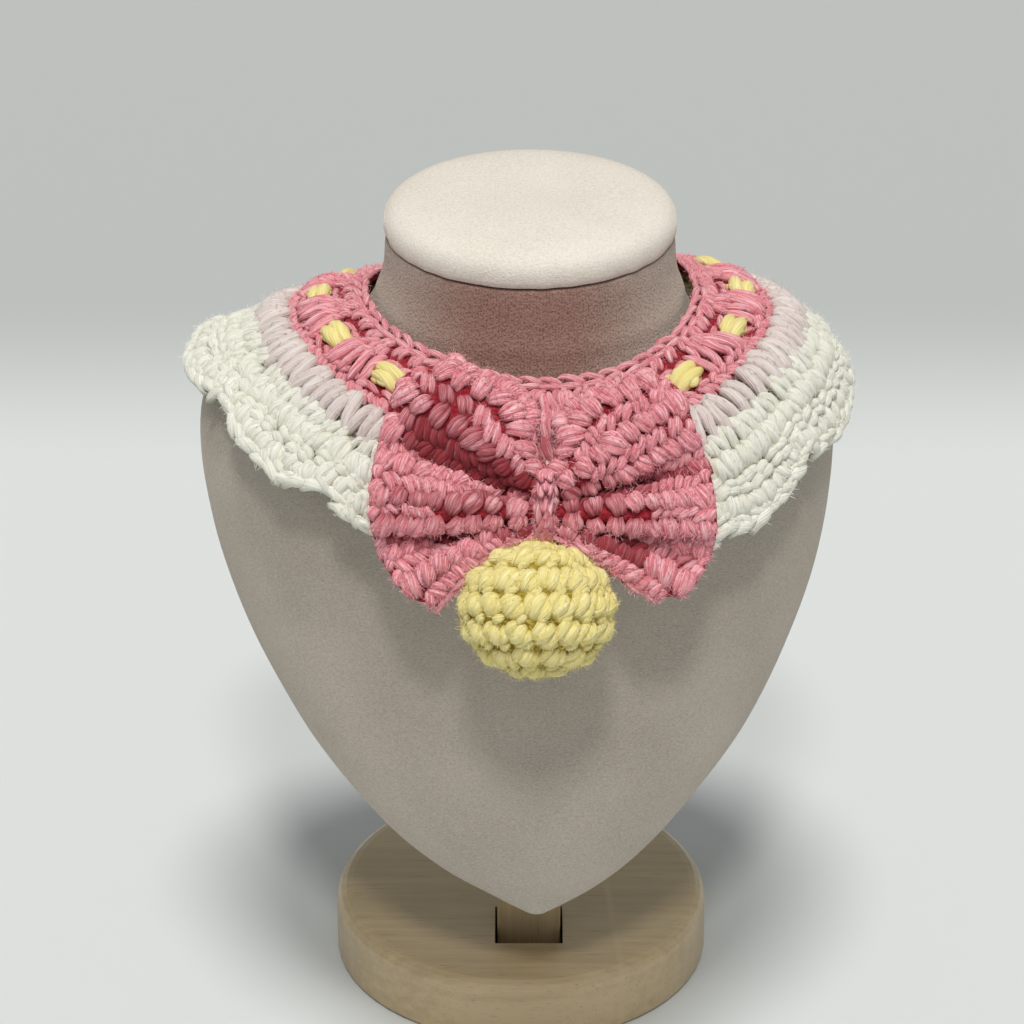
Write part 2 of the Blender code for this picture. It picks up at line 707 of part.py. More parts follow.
def main():
    """Build every piece."""
    for old in list(bpy.data.objects):
        bpy.data.objects.remove(old, do_unlink=True)

    wood = material("wood", (0.40, 0.29, 0.19), 0.45)
    velvet = material("velvet", (0.58, 0.50, 0.44), 0.95)
    pink = material("pink_yarn", (0.72, 0.20, 0.26), 0.9)
    pale = material("pale_yarn", (0.78, 0.66, 0.62), 0.9)
    white = material("white_yarn", (0.82, 0.82, 0.76), 0.9)
    yellow = material("yellow_yarn", (0.86, 0.76, 0.32), 0.9)

    make_base(wood)
    make_post(wood)
    make_bust(velvet)
    make_cap(velvet)
    make_band_half("band_left", -180.0 + BAND_SEAM, -BAND_SEAM, pink)
    make_band_half("band_right", BAND_SEAM, 180.0 - BAND_SEAM, pink)
    make_drawstring(yellow)
    make_post_row(pale)
    make_ruffle(white)
    make_wing("bow_left", -1, pink)
    make_wing("bow_right", 1, pink)
    make_wrap(pink)
    make_ball(yellow)


main()
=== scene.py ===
"""Looks of a crocheted pet bib that lies on a shoulder-less display bust.

The bib is dressed stitch by stitch: a thin cloth follows the form of each solid,
and copies of a few small strands of yarn lie on it as the rows were worked.  The
bust gets its jersey cover, and the stand its wood.

Sizes below are in millimetres and are turned to metres by MM.  The object faces
-Y, "forward" means towards -Y, and +X is the viewer's right.
"""

import json
import logging
import math
import random
from dataclasses import dataclass
from enum import Enum
from typing import Callable, NamedTuple, Sequence

import bmesh
import bpy
import numpy as np
from mathutils import Matrix, Vector

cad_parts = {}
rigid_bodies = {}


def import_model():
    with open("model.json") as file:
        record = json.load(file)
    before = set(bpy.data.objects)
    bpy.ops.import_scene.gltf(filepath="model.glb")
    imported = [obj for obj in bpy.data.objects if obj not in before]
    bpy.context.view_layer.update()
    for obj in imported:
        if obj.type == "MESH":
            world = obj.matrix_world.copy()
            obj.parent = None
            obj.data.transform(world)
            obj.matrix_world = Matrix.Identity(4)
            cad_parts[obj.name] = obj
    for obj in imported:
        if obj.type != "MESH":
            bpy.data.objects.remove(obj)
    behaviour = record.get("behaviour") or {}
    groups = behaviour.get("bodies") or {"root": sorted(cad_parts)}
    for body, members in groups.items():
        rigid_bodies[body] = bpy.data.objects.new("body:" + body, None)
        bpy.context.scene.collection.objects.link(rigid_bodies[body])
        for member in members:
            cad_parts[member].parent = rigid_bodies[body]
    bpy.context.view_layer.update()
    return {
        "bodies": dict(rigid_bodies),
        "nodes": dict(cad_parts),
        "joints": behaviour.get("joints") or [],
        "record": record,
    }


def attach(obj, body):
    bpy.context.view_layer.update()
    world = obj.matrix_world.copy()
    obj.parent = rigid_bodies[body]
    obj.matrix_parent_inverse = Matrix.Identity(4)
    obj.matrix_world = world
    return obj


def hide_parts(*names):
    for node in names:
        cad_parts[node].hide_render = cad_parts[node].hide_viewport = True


MM = 0.001
BODY = "root"
NECK_X = 2.0            # the middle of the neck, to the right
NECK_FORWARD = 12.0     # and forward
MERGED = 0.01           # points closer than this are one
LOG = logging.getLogger("bib")
Colour = tuple[float, float, float]


# ============================================================ shader building

def maths(operation: str, swapped: bool = False) -> Callable[..., "Signal"]:
    """A method of Signal that adds one Math node.

    Args:
        operation: the Math node's operation.
        swapped: True where the other operand comes first.

    Returns:
        The method.
    """
    def method(self: "Signal", other: "Signal | float" = 0.0) -> "Signal":
        """The node's result for this signal and the other operand, where it has one."""
        first, second = (other, self) if swapped else (self, other)
        return self.shader.node("ShaderNodeMath", {"operation": operation}, {0: first, 1: second})

    return method


class Signal:
    """An output socket that shader maths can be written with."""

    __add__, __radd__ = maths("ADD"), maths("ADD", True)
    __sub__, __rsub__ = maths("SUBTRACT"), maths("SUBTRACT", True)
    __mul__, __rmul__ = maths("MULTIPLY"), maths("MULTIPLY", True)
    __truediv__ = maths("DIVIDE")
    sine = maths("SINE")        # of an angle in radians
    size = maths("ABSOLUTE")    # the value without its sign

    def __init__(self, shader: "Shader", socket: bpy.types.NodeSocket) -> None:
        """Wrap one output socket of a shader."""
        self.shader = shader
        self.socket = socket

    def rise(self, low: float, high: float) -> "Signal":
        """0 below low, 1 above high, and a smooth step between them."""
        return self.shader.node("ShaderNodeMapRange", {"interpolation_type": "SMOOTHSTEP"},
                                {0: self, 1: low, 2: high, 3: 0.0, 4: 1.0})


class Shader:
    """Builds one material from nodes."""

    def __init__(self, name: str) -> None:
        """Start an empty material of that name."""
        self.material = bpy.data.materials.new(name)
        self.material.use_nodes = True
        self.tree = self.material.node_tree
        self.tree.nodes.clear()

    def node(self, kind: str, settings: dict | None = None, inputs: dict | None = None,
             output: int | str = 0) -> Signal:
        """Add a node.

        Args:
            kind: the node's type.
            settings: properties, set before the sockets are filled.
            inputs: values or signals by socket name or number.
            output: which output the signal stands for.

        Returns:
            That output.
        """
        made = self.tree.nodes.new(kind)
        for key, value in (settings or {}).items():
            setattr(made, key, value)
        for key, value in (inputs or {}).items():
            if isinstance(value, Signal):
                self.tree.links.new(value.socket, made.inputs[key])
            else:
                socket = made.inputs[key]
                wide = isinstance(value, tuple) and len(value) == 3 and socket.type == "RGBA"
                socket.default_value = (*value, 1.0) if wide else value
        return Signal(self, made.outputs[output] if len(made.outputs) else None)

    def attribute(self, name: str) -> Signal:
        """A number that the mesh carries on its points."""
        return self.node("ShaderNodeAttribute", {"attribute_name": name}, output="Fac")

    def place(self) -> tuple[Signal, Signal, Signal]:
        """The surface point in the object's own metres, as three numbers."""
        parts = self.node("ShaderNodeSeparateXYZ", None, {0: self.point()})
        return tuple(Signal(self, output) for output in parts.socket.node.outputs)

    def point(self) -> Signal:
        """The surface point in the object's own metres, as a vector."""
        return self.node("ShaderNodeTexCoord", output="Object")

    def vector(self, x: Signal | float, y: Signal | float, z: Signal | float) -> Signal:
        """Three numbers as a vector."""
        return self.node("ShaderNodeCombineXYZ", None, {0: x, 1: y, 2: z})

    def noise(self, where: Signal, scale: float, detail: float = 2.0, roughness: float = 0.5) -> Signal:
        """Smooth noise between 0 and 1."""
        return self.node("ShaderNodeTexNoise", {"noise_dimensions": "3D"},
                         {"Vector": where, "Scale": scale, "Detail": detail, "Roughness": roughness})

    def mix(self, share: Signal, first: Signal | Colour, second: Signal | Colour) -> Signal:
        """Colour between two colours."""
        return self.node("ShaderNodeMix", {"data_type": "RGBA"}, {0: share, 6: first, 7: second}, 2)

    def bump(self, height: Signal, distance: float, strength: float = 1.0) -> Signal:
        """A normal from a height of that many metres."""
        return self.node("ShaderNodeBump", None,
                         {"Height": height, "Distance": distance, "Strength": strength})

    def finish(self, colour: Signal, roughness: Signal | float, normal: Signal | None,
               fixed: dict | None = None) -> bpy.types.Material:
        """Close the material with a Principled shader.

        Args:
            colour: base colour.
            roughness: roughness.
            normal: normal, or None for the mesh's own.
            fixed: values that are the same all over, by socket name.

        Returns:
            The material.
        """
        inputs = {"Base Color": colour, "Roughness": roughness, **(fixed or {})}
        if normal is not None:
            inputs["Normal"] = normal
        surface = self.node("ShaderNodeBsdfPrincipled", None, inputs)
        self.node("ShaderNodeOutputMaterial", None, {"Surface": surface})
        return self.material


# =================================================================== finishes

def blend(share: float, first: Colour, second: Colour) -> Colour:
    """A fixed colour between two colours."""
    return tuple((1.0 - share) * low + share * high for low, high in zip(first, second))


def dimmed(colour: Colour, share: float) -> Colour:
    """A share of a colour's light."""
    return tuple(share * part for part in colour)


@dataclass(frozen=True)
class YarnFinish:
    """Soft many-stranded yarn: silky filaments that wind round each strand, with painted highlights on the
    crests and painted shade deep between the strands.
    """

    name: str
    # light is the colour of painted highlights, middle the yarn's colour between, deep the colour of painted
    # shade in the recesses
    light: Colour
    middle: Colour
    deep: Colour
    filaments: float = 25.0     # round a strand
    winding: float = 7.0        # filaments crossed along a strand's length

    def strand(self) -> bpy.types.Material:
        """Material of the strands, which carry the layers of StitchMaker."""
        shader = Shader(self.name)
        along, around, depth, tone, fold_shade = map(shader.attribute, StitchMaker.LAYERS)
        # each strand's tone sets its noises apart from those of the others
        across = around * self.filaments + along * self.winding + tone * 51.0
        filament = shader.noise(shader.vector(across, along * 1.3 + tone * 17.0, tone * 29.0), 1.0, 1.0)
        fibre = shader.noise(shader.vector(across * 2.1, along * 2.2, tone * 31.0), 1.0, 1.0)
        patch = shader.noise(shader.vector(across * 0.25, along * 1.4, tone * 7.0), 1.0, 1.0)
        clump = shader.noise(shader.point(), 420.0, 2.0)
        # filament streaks: the fibres' own pattern, with painted highlights along the light ones
        streak = (filament * 0.65 + fibre * 0.35).rise(0.45, 0.60)
        # painted shade in the recesses and painted highlights on the crests, by depth
        depth = depth * (0.55 + 0.9 * clump)
        shade = shader.mix(depth.rise(0.08, 0.72), self.deep, self.middle)
        # patches of painted highlight on the crests, then the painted highlight colour of the filaments
        shade = shader.mix(patch.rise(0.35, 0.75) * 0.45 * depth, shade, self.light)
        gleam = shader.mix(depth.rise(0.06, 0.66), blend(0.45, self.deep, self.middle), self.light)
        colour = shader.mix(streak * (0.80 + tone * 0.20), shade, gleam)
        # painted shade in the bottoms of folds, from the shade attribute
        colour = shader.mix(fold_shade * 0.58, colour, dimmed(self.deep, 0.55))
        normal = shader.bump(filament * 0.6 + fibre * 0.4, 0.5 * MM, 1.0)
        return shader.finish(colour, 0.70 + 0.25 * (1.0 - streak), normal,
                             {"Sheen Weight": 0.30, "Sheen Roughness": 0.5,
                              "Sheen Tint": (*self.light, 1.0), "Specular IOR Level": 0.3})

    def cloth(self) -> bpy.types.Material:
        """Material of the thin cloth that shows deep between the strands, in the colour of painted recess
        shade.
        """
        shader = Shader(self.name + "_cloth")
        grain = shader.noise(shader.point(), 1100.0, 2.0)
        shade = blend(0.12, self.deep, self.middle)
        colour = shader.mix(grain.rise(0.35, 0.70), dimmed(self.deep, 0.7), shade)
        return shader.finish(colour, 0.95, shader.bump(grain, 0.5 * MM, 0.8),
                             {"Sheen Weight": 0.1, "Specular IOR Level": 0.1})

    def fuzz(self) -> bpy.types.Material:
        """Material of the loose fibres that stand off the yarn."""
        shader = Shader(self.name + "_fuzz")
        tone = shader.attribute("tone")
        # painted highlight: each fibre goes from the middle colour at its root to the highlight colour at its
        # tip
        return shader.finish(shader.mix(tone, self.middle, self.light), 0.8, None, {"Specular IOR Level": 0.2})


@dataclass(frozen=True)
class JerseyFinish:
    """Brushed jersey of the bust: a short nap over a fine knit."""

    name: str
    light: Colour
    dark: Colour
    neck: Colour = (0.35, 0.20, 0.165)      # painted shadow of the lid and painted pink reflection of the band, on the front of the neck, as is the next
    neck_shadow_dark: Colour = (0.19, 0.09, 0.07)
    neck_shadow_reach: float = 42.0    # where that painted shadow and reflection end at the sides
    ribs: int = 300             # knit ribs right round

    def material(self) -> bpy.types.Material:
        """The material, for a mesh that carries turn, its angle round the neck in radians."""
        shader = Shader(self.name)
        x, y, z = shader.place()
        turn = shader.attribute("turn")
        ribbed = shader.attribute("ribbed")
        nap = shader.noise(shader.vector(x, y, z * 1.7), 1500.0, 2.0, 0.7)
        cloud = shader.noise(shader.point(), 45.0, 2.0)
        sway = shader.noise(shader.vector(x, y, z * 0.4), 300.0, 1.0)
        rib = (turn * float(self.ribs) + sway * 4.0).sine() * 0.5 + 0.5
        speck = shader.noise(shader.vector(x, y, z * 0.6), 2400.0, 1.0)
        holes = speck.rise(0.42, 0.66) * (rib * 0.6 + 0.4) * ribbed
        tone = nap * 0.55 + cloud * 0.18 + 0.135 - holes * 0.14
        colour = shader.mix(tone.rise(0.26, 0.66), self.dark, self.light)
        # painted shadow of the lid and painted reflection of the band, strongest at the front middle of the
        # neck
        shaded = ribbed * (1.0 - x.size() / (self.neck_shadow_reach * MM)).rise(0.0, 0.8) * 0.95
        colour = shader.mix(shaded, colour, shader.mix(tone.rise(0.2, 0.6), self.neck_shadow_dark, self.neck))
        return shader.finish(colour, 0.9, shader.bump(nap - holes, 0.25 * MM, 0.8),
                             {"Sheen Weight": 0.5, "Sheen Roughness": 0.35,
                              "Sheen Tint": (*self.light, 1.0), "Specular IOR Level": 0.2})


class Grain(Enum):
    """The axis that a board's grain runs along."""

    X = "x"
    Z = "z"


@dataclass(frozen=True)
class WoodFinish:
    """Oiled hardwood with its grain along one direction of the board."""

    name: str
    light: Colour
    dark: Colour
    gloss: float

    def material(self, along: Grain, pale_line: tuple[float, float] | None = None) -> bpy.types.Material:
        """The material.

        Args:
            along: the axis that the grain runs along.
            pale_line: where a lighter line crosses the board, as its x at y = 0 and its slope, in metres.

        Returns:
            The material.
        """
        shader = Shader(self.name + "_" + along.value)
        x, y, z = shader.place()
        long, wide, deep = (x, y, z) if along is Grain.X else (z, x, y)
        grain = shader.noise(shader.vector(long * 26.0, wide * 420.0, deep * 420.0), 1.0, 3.0, 0.6)
        figure = shader.noise(shader.vector(long * 8.0, wide * 70.0, deep * 70.0), 1.0, 2.0)
        pores = shader.noise(shader.vector(long * 120.0, wide * 2600.0, deep * 2600.0), 1.0, 1.0)
        tone = grain * 0.5 + figure * 0.5
        colour = shader.mix(tone.rise(0.32, 0.68), self.dark, self.light)
        colour = shader.mix(pores.rise(0.62, 0.78) * 0.5, colour, dimmed(self.dark, 0.45))
        # a lighter line across the board
        if pale_line:
            off = (x - (y * pale_line[1] + pale_line[0])).size()
            colour = shader.mix((1.0 - off.rise(0.4 * MM, 1.2 * MM)) * 0.5, colour, self.light)
        normal = shader.bump(grain + pores * 0.4, 0.06 * MM, 0.5)
        return shader.finish(colour, self.gloss + 0.25 * grain, normal,
                             {"Coat Weight": 0.35, "Coat Roughness": 0.22})


PINK = YarnFinish("pink_yarn", (0.95, 0.58, 0.62), (0.71, 0.18, 0.22), (0.32, 0.014, 0.025))
PALE = YarnFinish("pale_yarn", (0.79, 0.725, 0.70), (0.66, 0.56, 0.525), (0.38, 0.28, 0.24))
WHITE = YarnFinish("white_yarn", (0.86, 0.86, 0.79), (0.75, 0.74, 0.63), (0.40, 0.39, 0.25))
YELLOW = YarnFinish("yellow_yarn", (0.90, 0.82, 0.44), (0.80, 0.67, 0.22), (0.38, 0.27, 0.02))
JERSEY = JerseyFinish("bust_jersey", (0.56, 0.50, 0.43), (0.36, 0.31, 0.26))
LID_JERSEY = JerseyFinish("lid_jersey", (0.80, 0.75, 0.67), (0.60, 0.54, 0.47))
WOOD = WoodFinish("oiled_wood", (0.52, 0.40, 0.235), (0.41, 0.305, 0.165), 0.30)


# ================================================================== mesh tools

def add_piece(name: str, bm: bmesh.types.BMesh, material: bpy.types.Material) -> bpy.types.Object:
    """Turn a bmesh into a smooth-shaded object at the origin.

    Args:
        name: the object's name.
        bm: its mesh in metres, freed here.
        material: its only material.

    Returns:
        The object.
    """
    mesh = bpy.data.meshes.new(name)
    bm.to_mesh(mesh)
    bm.free()
    mesh.materials.append(material)
    mesh.shade_smooth()
    made = bpy.data.objects.new(name, mesh)
    bpy.context.collection.objects.link(made)
    return made


def ride(piece: bpy.types.Object, slot: str, *nodes: str) -> None:
    """Let a piece ride on the object and stand for CAD nodes."""
    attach(piece, BODY)
    if nodes:
        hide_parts(*nodes)
    LOG.info("%s: %d faces", piece.name, len(piece.data.polygons))


def cloth_piece(name: str, bm: bmesh.types.BMesh, finish: YarnFinish, wall: float,
                *nodes: str) -> bpy.types.Object:
    """Turn a sheet into a thin cloth of yarn.

    Args:
        name: the cloth's name.
        bm: the sheet in metres, freed here.
        finish: its yarn.
        wall: its thickness in millimetres, half to each side.
        nodes: the CAD nodes that it stands for.

    Returns:
        The cloth.
    """
    cloth = add_piece(name, bm, finish.cloth())
    solid = cloth.modifiers.new("wall", "SOLIDIFY")
    solid.thickness = wall * MM
    solid.offset = 0.0
    solid.use_even_offset = False
    ride(cloth, finish.name, *nodes)
    return cloth


def curved_grid(columns: int, rows: int, place: Callable[[float, float], Vector],
                keep: Callable[[float, float], bool] | None = None) -> bmesh.types.BMesh:
    """A grid laid over a surface.

    Args:
        columns: faces along the first share.
        rows: faces along the second share.
        place: gives the point, in metres, for two shares from 0 to 1.
        keep: says whether the face round two shares stays; all stay without it.

    Returns:
        The mesh, with points that fall together merged.
    """
    bm = bmesh.new()
    bmesh.ops.create_grid(bm, x_segments=columns, y_segments=rows, size=0.5)
    if keep:
        away = [face for face in bm.faces
                if not keep(face.calc_center_median().x + 0.5, face.calc_center_median().y + 0.5)]
        bmesh.ops.delete(bm, geom=away, context="FACES")
    for vert in bm.verts:
        vert.co = place(vert.co.x + 0.5, vert.co.y + 0.5)
    bmesh.ops.remove_doubles(bm, verts=bm.verts, dist=MERGED * MM)
    return bm


def frame_at(point: Vector, right: Vector, out: Vector) -> Matrix:
    """A placing matrix in metres: X to the right, Y up along the surface, Z out of it."""
    out = out.normalized()
    up = out.cross(right).normalized()
    side = up.cross(out)
    matrix = Matrix((side, up, out)).transposed().to_4x4()
    matrix.translation = point
    return matrix


def surface_frame(place: Callable[[float, float], Vector], first: float, second: float,
                  first_step: float, second_step: float) -> Matrix:
    """A placing matrix on a surface: X along the first share, Y along the second, Z out.

    Args:
        place: gives the surface's point in metres for two shares.
        first: the first share.
        second: the second share.
        first_step: step of the first share that shows which way is right.
        second_step: step of the second share that shows which way is up.

    Returns:
        The matrix.
    """
    right = place(first + first_step, second) - place(first - first_step, second)
    upwards = place(first, second + second_step) - place(first, second - second_step)
    return frame_at(place(first, second), right, right.cross(upwards))


def moved(where: Matrix, lift: float, up: float = 0.0) -> Matrix:
    """A placing matrix moved out of its surface, and up along it, by millimetres."""
    return where @ Matrix.Translation((0.0, up * MM, lift * MM))


def ring(count: int) -> list[float]:
    """That many angles in equal steps round the neck, in degrees from the back."""
    return [-180.0 + 360.0 * i / count for i in range(count)]


def spread_sides(count: int) -> list[float]:
    """That many places spread evenly from -1, on the left, to 1, on the right."""
    return [(k + 0.5) / count * 2 - 1 for k in range(count)]


def smooth_row(keys: Sequence[float], values: Sequence[float], key: float) -> float:
    """A smooth curve through a short table, held level at both ends."""
    slopes = np.gradient(np.asarray(values, float), np.asarray(keys, float))
    index = int(np.clip(np.searchsorted(keys, key) - 1, 0, len(keys) - 2))
    span = keys[index + 1] - keys[index]
    t = min(max((key - keys[index]) / span, 0.0), 1.0)
    return float((2 * t ** 3 - 3 * t ** 2 + 1) * values[index]
                 + (t ** 3 - 2 * t ** 2 + t) * span * slopes[index]
                 + (3 * t ** 2 - 2 * t ** 3) * values[index + 1]
                 + (t ** 3 - t ** 2) * span * slopes[index + 1])


# ==================================================================== stitches

class Knot(NamedTuple):
    """A point that a strand passes in a stitch's own cell, which is one wide and one high."""

    x: float
    y: float
    z: float
    radius: float


Strand = tuple[Knot, ...]


class Stitch(Enum):
    """Kinds of stitch, each by the strands that show of it."""

    # two short legs side by side that lean to the right
    LEGS = ((Knot(-0.46, -0.34, -0.14, 0.15), Knot(-0.34, -0.10, 0.12, 0.21), Knot(-0.16, 0.14, 0.20, 0.22),
             Knot(0.02, 0.34, 0.08, 0.20), Knot(0.10, 0.46, -0.14, 0.13)),
            (Knot(-0.06, -0.48, -0.14, 0.14), Knot(0.06, -0.26, 0.14, 0.22), Knot(0.22, 0.00, 0.24, 0.23),
             Knot(0.38, 0.24, 0.10, 0.20), Knot(0.46, 0.38, -0.14, 0.13)))
    # the same, leaning to the left
    LEGS_BACK = tuple(tuple(Knot(-x, y, z, radius) for x, y, z, radius in strand) for strand in LEGS)
    # a round tuft of two strands that cross the row
    TUFT = ((Knot(-0.46, 0.02, -0.14, 0.15), Knot(-0.26, 0.22, 0.14, 0.22), Knot(0.02, 0.26, 0.20, 0.23),
             Knot(0.28, 0.18, 0.10, 0.21), Knot(0.44, 0.02, -0.14, 0.14)),
            (Knot(-0.44, -0.26, -0.14, 0.14), Knot(-0.22, -0.16, 0.16, 0.22), Knot(0.06, -0.14, 0.26, 0.24),
             Knot(0.30, -0.20, 0.12, 0.21), Knot(0.46, -0.30, -0.14, 0.14)))
    # a plump knob of three strands side by side
    KNOB = ((Knot(-0.20, -0.48, -0.14, 0.16), Knot(-0.31, -0.16, 0.10, 0.22), Knot(-0.36, 0.14, 0.15, 0.23),
             Knot(-0.31, 0.38, 0.02, 0.20), Knot(-0.22, 0.50, -0.16, 0.12)),
            (Knot(0.0, -0.50, -0.12, 0.17), Knot(0.02, -0.18, 0.19, 0.25), Knot(-0.02, 0.14, 0.27, 0.26),
             Knot(0.0, 0.42, 0.10, 0.22), Knot(0.0, 0.54, -0.14, 0.13)),
            (Knot(0.20, -0.48, -0.14, 0.16), Knot(0.30, -0.14, 0.10, 0.22), Knot(0.35, 0.14, 0.15, 0.23),
             Knot(0.31, 0.38, 0.02, 0.20), Knot(0.22, 0.50, -0.16, 0.12)))
    # a short round loop
    LOOP = ((Knot(-0.44, 0.06, -0.16, 0.18), Knot(-0.26, 0.12, 0.14, 0.28), Knot(0.0, 0.04, 0.27, 0.32),
             Knot(0.25, -0.08, 0.14, 0.28), Knot(0.42, -0.16, -0.16, 0.16)),)
    # two legs that meet at the top
    ARCH = ((Knot(-0.30, -0.50, -0.10, 0.15), Knot(-0.27, -0.16, 0.14, 0.20), Knot(-0.21, 0.20, 0.18, 0.21),
             Knot(-0.12, 0.42, 0.08, 0.19), Knot(-0.04, 0.50, -0.10, 0.12)),
            (Knot(0.30, -0.50, -0.10, 0.15), Knot(0.25, -0.16, 0.14, 0.20), Knot(0.20, 0.20, 0.18, 0.21),
             Knot(0.12, 0.42, 0.08, 0.19), Knot(0.04, 0.50, -0.10, 0.12)))
    # a link of an edge chain: two strands that draw together to the right
    LINK = ((Knot(-0.62, 0.26, -0.06, 0.14), Knot(-0.30, 0.34, 0.12, 0.22), Knot(0.10, 0.26, 0.18, 0.23),
             Knot(0.46, 0.08, 0.02, 0.15)),
            (Knot(-0.62, -0.26, -0.06, 0.14), Knot(-0.30, -0.34, 0.12, 0.22), Knot(0.10, -0.26, 0.18, 0.23),
             Knot(0.46, -0.08, 0.02, 0.15)))
    # one long leg with a waist
    POST = ((Knot(0.0, -0.54, -0.14, 0.15), Knot(0.05, -0.30, 0.12, 0.24), Knot(-0.02, 0.0, 0.18, 0.22),
             Knot(-0.05, 0.28, 0.12, 0.25), Knot(0.02, 0.54, -0.14, 0.15)),)
    # a strand laid along the row
    LAID = ((Knot(-0.60, 0.0, -0.16, 0.16), Knot(-0.28, 0.06, 0.12, 0.27), Knot(0.04, 0.03, 0.18, 0.29),
             Knot(0.34, -0.05, 0.08, 0.25), Knot(0.58, -0.06, -0.16, 0.16)),)


class StitchMaker:
    """Makes the small mesh of each kind of stitch once."""

    SIDES = 8
    RINGS = 8
    VARIANTS = 5
    APART = 3.0         # what along starts at past the strand before
    LAYERS = ("along", "around", "depth", "tone", "shade")

    def __init__(self) -> None:
        """Start with no shapes made."""
        self.made: dict[tuple[Stitch, int], bpy.types.Mesh] = {}

    def shape(self, kind: Stitch, variant: int) -> bpy.types.Mesh:
        """The mesh of one variant of a kind of stitch, in units of its cell."""
        if (kind, variant) not in self.made:
            draw = random.Random(f"{kind.name} {variant}").uniform
            bm = bmesh.new()
            layers = {name: bm.verts.layers.float.new(name) for name in self.LAYERS}
            for number, strand in enumerate(kind.value):
                uneven = tuple(Knot(x + draw(-0.05, 0.05), y + draw(-0.05, 0.05), z + draw(-0.03, 0.04),
                                    radius * draw(0.90, 1.14)) for x, y, z, radius in strand)
                self._sweep(bm, uneven, layers, number)
            # depth, 0 at the bottom and 1 at the top of a stitch, sets where the strands take painted shade and
            # painted highlights
            heights = [vert.co.z for vert in bm.verts]
            low, high = min(heights), max(heights)
            for vert in bm.verts:
                vert[layers["depth"]] = (vert.co.z - low) / (high - low)
            bmesh.ops.recalc_face_normals(bm, faces=bm.faces)
            mesh = bpy.data.meshes.new("stitch_" + kind.name.lower())
            bm.to_mesh(mesh)
            bm.free()
            self.made[kind, variant] = mesh
        return self.made[kind, variant]

    def _sweep(self, bm: bmesh.types.BMesh, strand: Strand, layers: dict, number: int) -> None:
        """Run a ring of points along one strand and close both ends.

        Args:
            bm: the mesh that the strand is added to.
            strand: its knots.
            layers: the mesh's number layers by name.
            number: which strand of the stitch it is.
        """
        knots = np.array(strand)
        keys = np.linspace(0.0, 1.0, len(knots))
        stops = np.linspace(0.0, 1.0, self.RINGS)
        path = [Vector([smooth_row(keys, knots[:, axis], stop) for axis in range(3)]) for stop in stops]
        radii = [smooth_row(keys, knots[:, 3], stop) for stop in stops]
        ring = bmesh.ops.create_circle(bm, segments=self.SIDES, radius=1.0, cap_ends=False)["verts"]
        for vert in ring:
            turn = math.atan2(vert.co.y, vert.co.x) / math.tau
            vert[layers["around"]] = (turn + 0.25) % 1.0
            vert[layers["along"]] = number * self.APART
        edges = list(dict.fromkeys(edge for vert in ring for edge in vert.link_edges))
        bmesh.ops.edgeloop_fill(bm, edges=edges)
        before = Matrix.Identity(4)
        for i, (centre, radius) in enumerate(zip(path, radii)):
            ahead = path[min(i + 1, len(path) - 1)] - path[max(i - 1, 0)]
            side = ahead.cross(Vector((0.0, 0.0, 1.0))).normalized()
            lift = side.cross(ahead).normalized()
            turned = Matrix((side, lift, ahead.normalized())).transposed().to_4x4()
            here = Matrix.Translation(centre) @ turned @ Matrix.Diagonal((radius, radius, radius, 1.0))
            if i:
                grown = bmesh.ops.extrude_edge_only(bm, edges=edges)["geom"]
                ring = [item for item in grown if isinstance(item, bmesh.types.BMVert)]
                fresh = set(ring)
                edges = [item for item in grown if isinstance(item, bmesh.types.BMEdge)
                         and item.verts[0] in fresh and item.verts[1] in fresh]
                for vert in ring:
                    vert[layers["along"]] = number * self.APART + stops[i]
            bmesh.ops.transform(bm, matrix=here @ before.inverted(), verts=ring)
            before = here
        bmesh.ops.edgeloop_fill(bm, edges=edges)


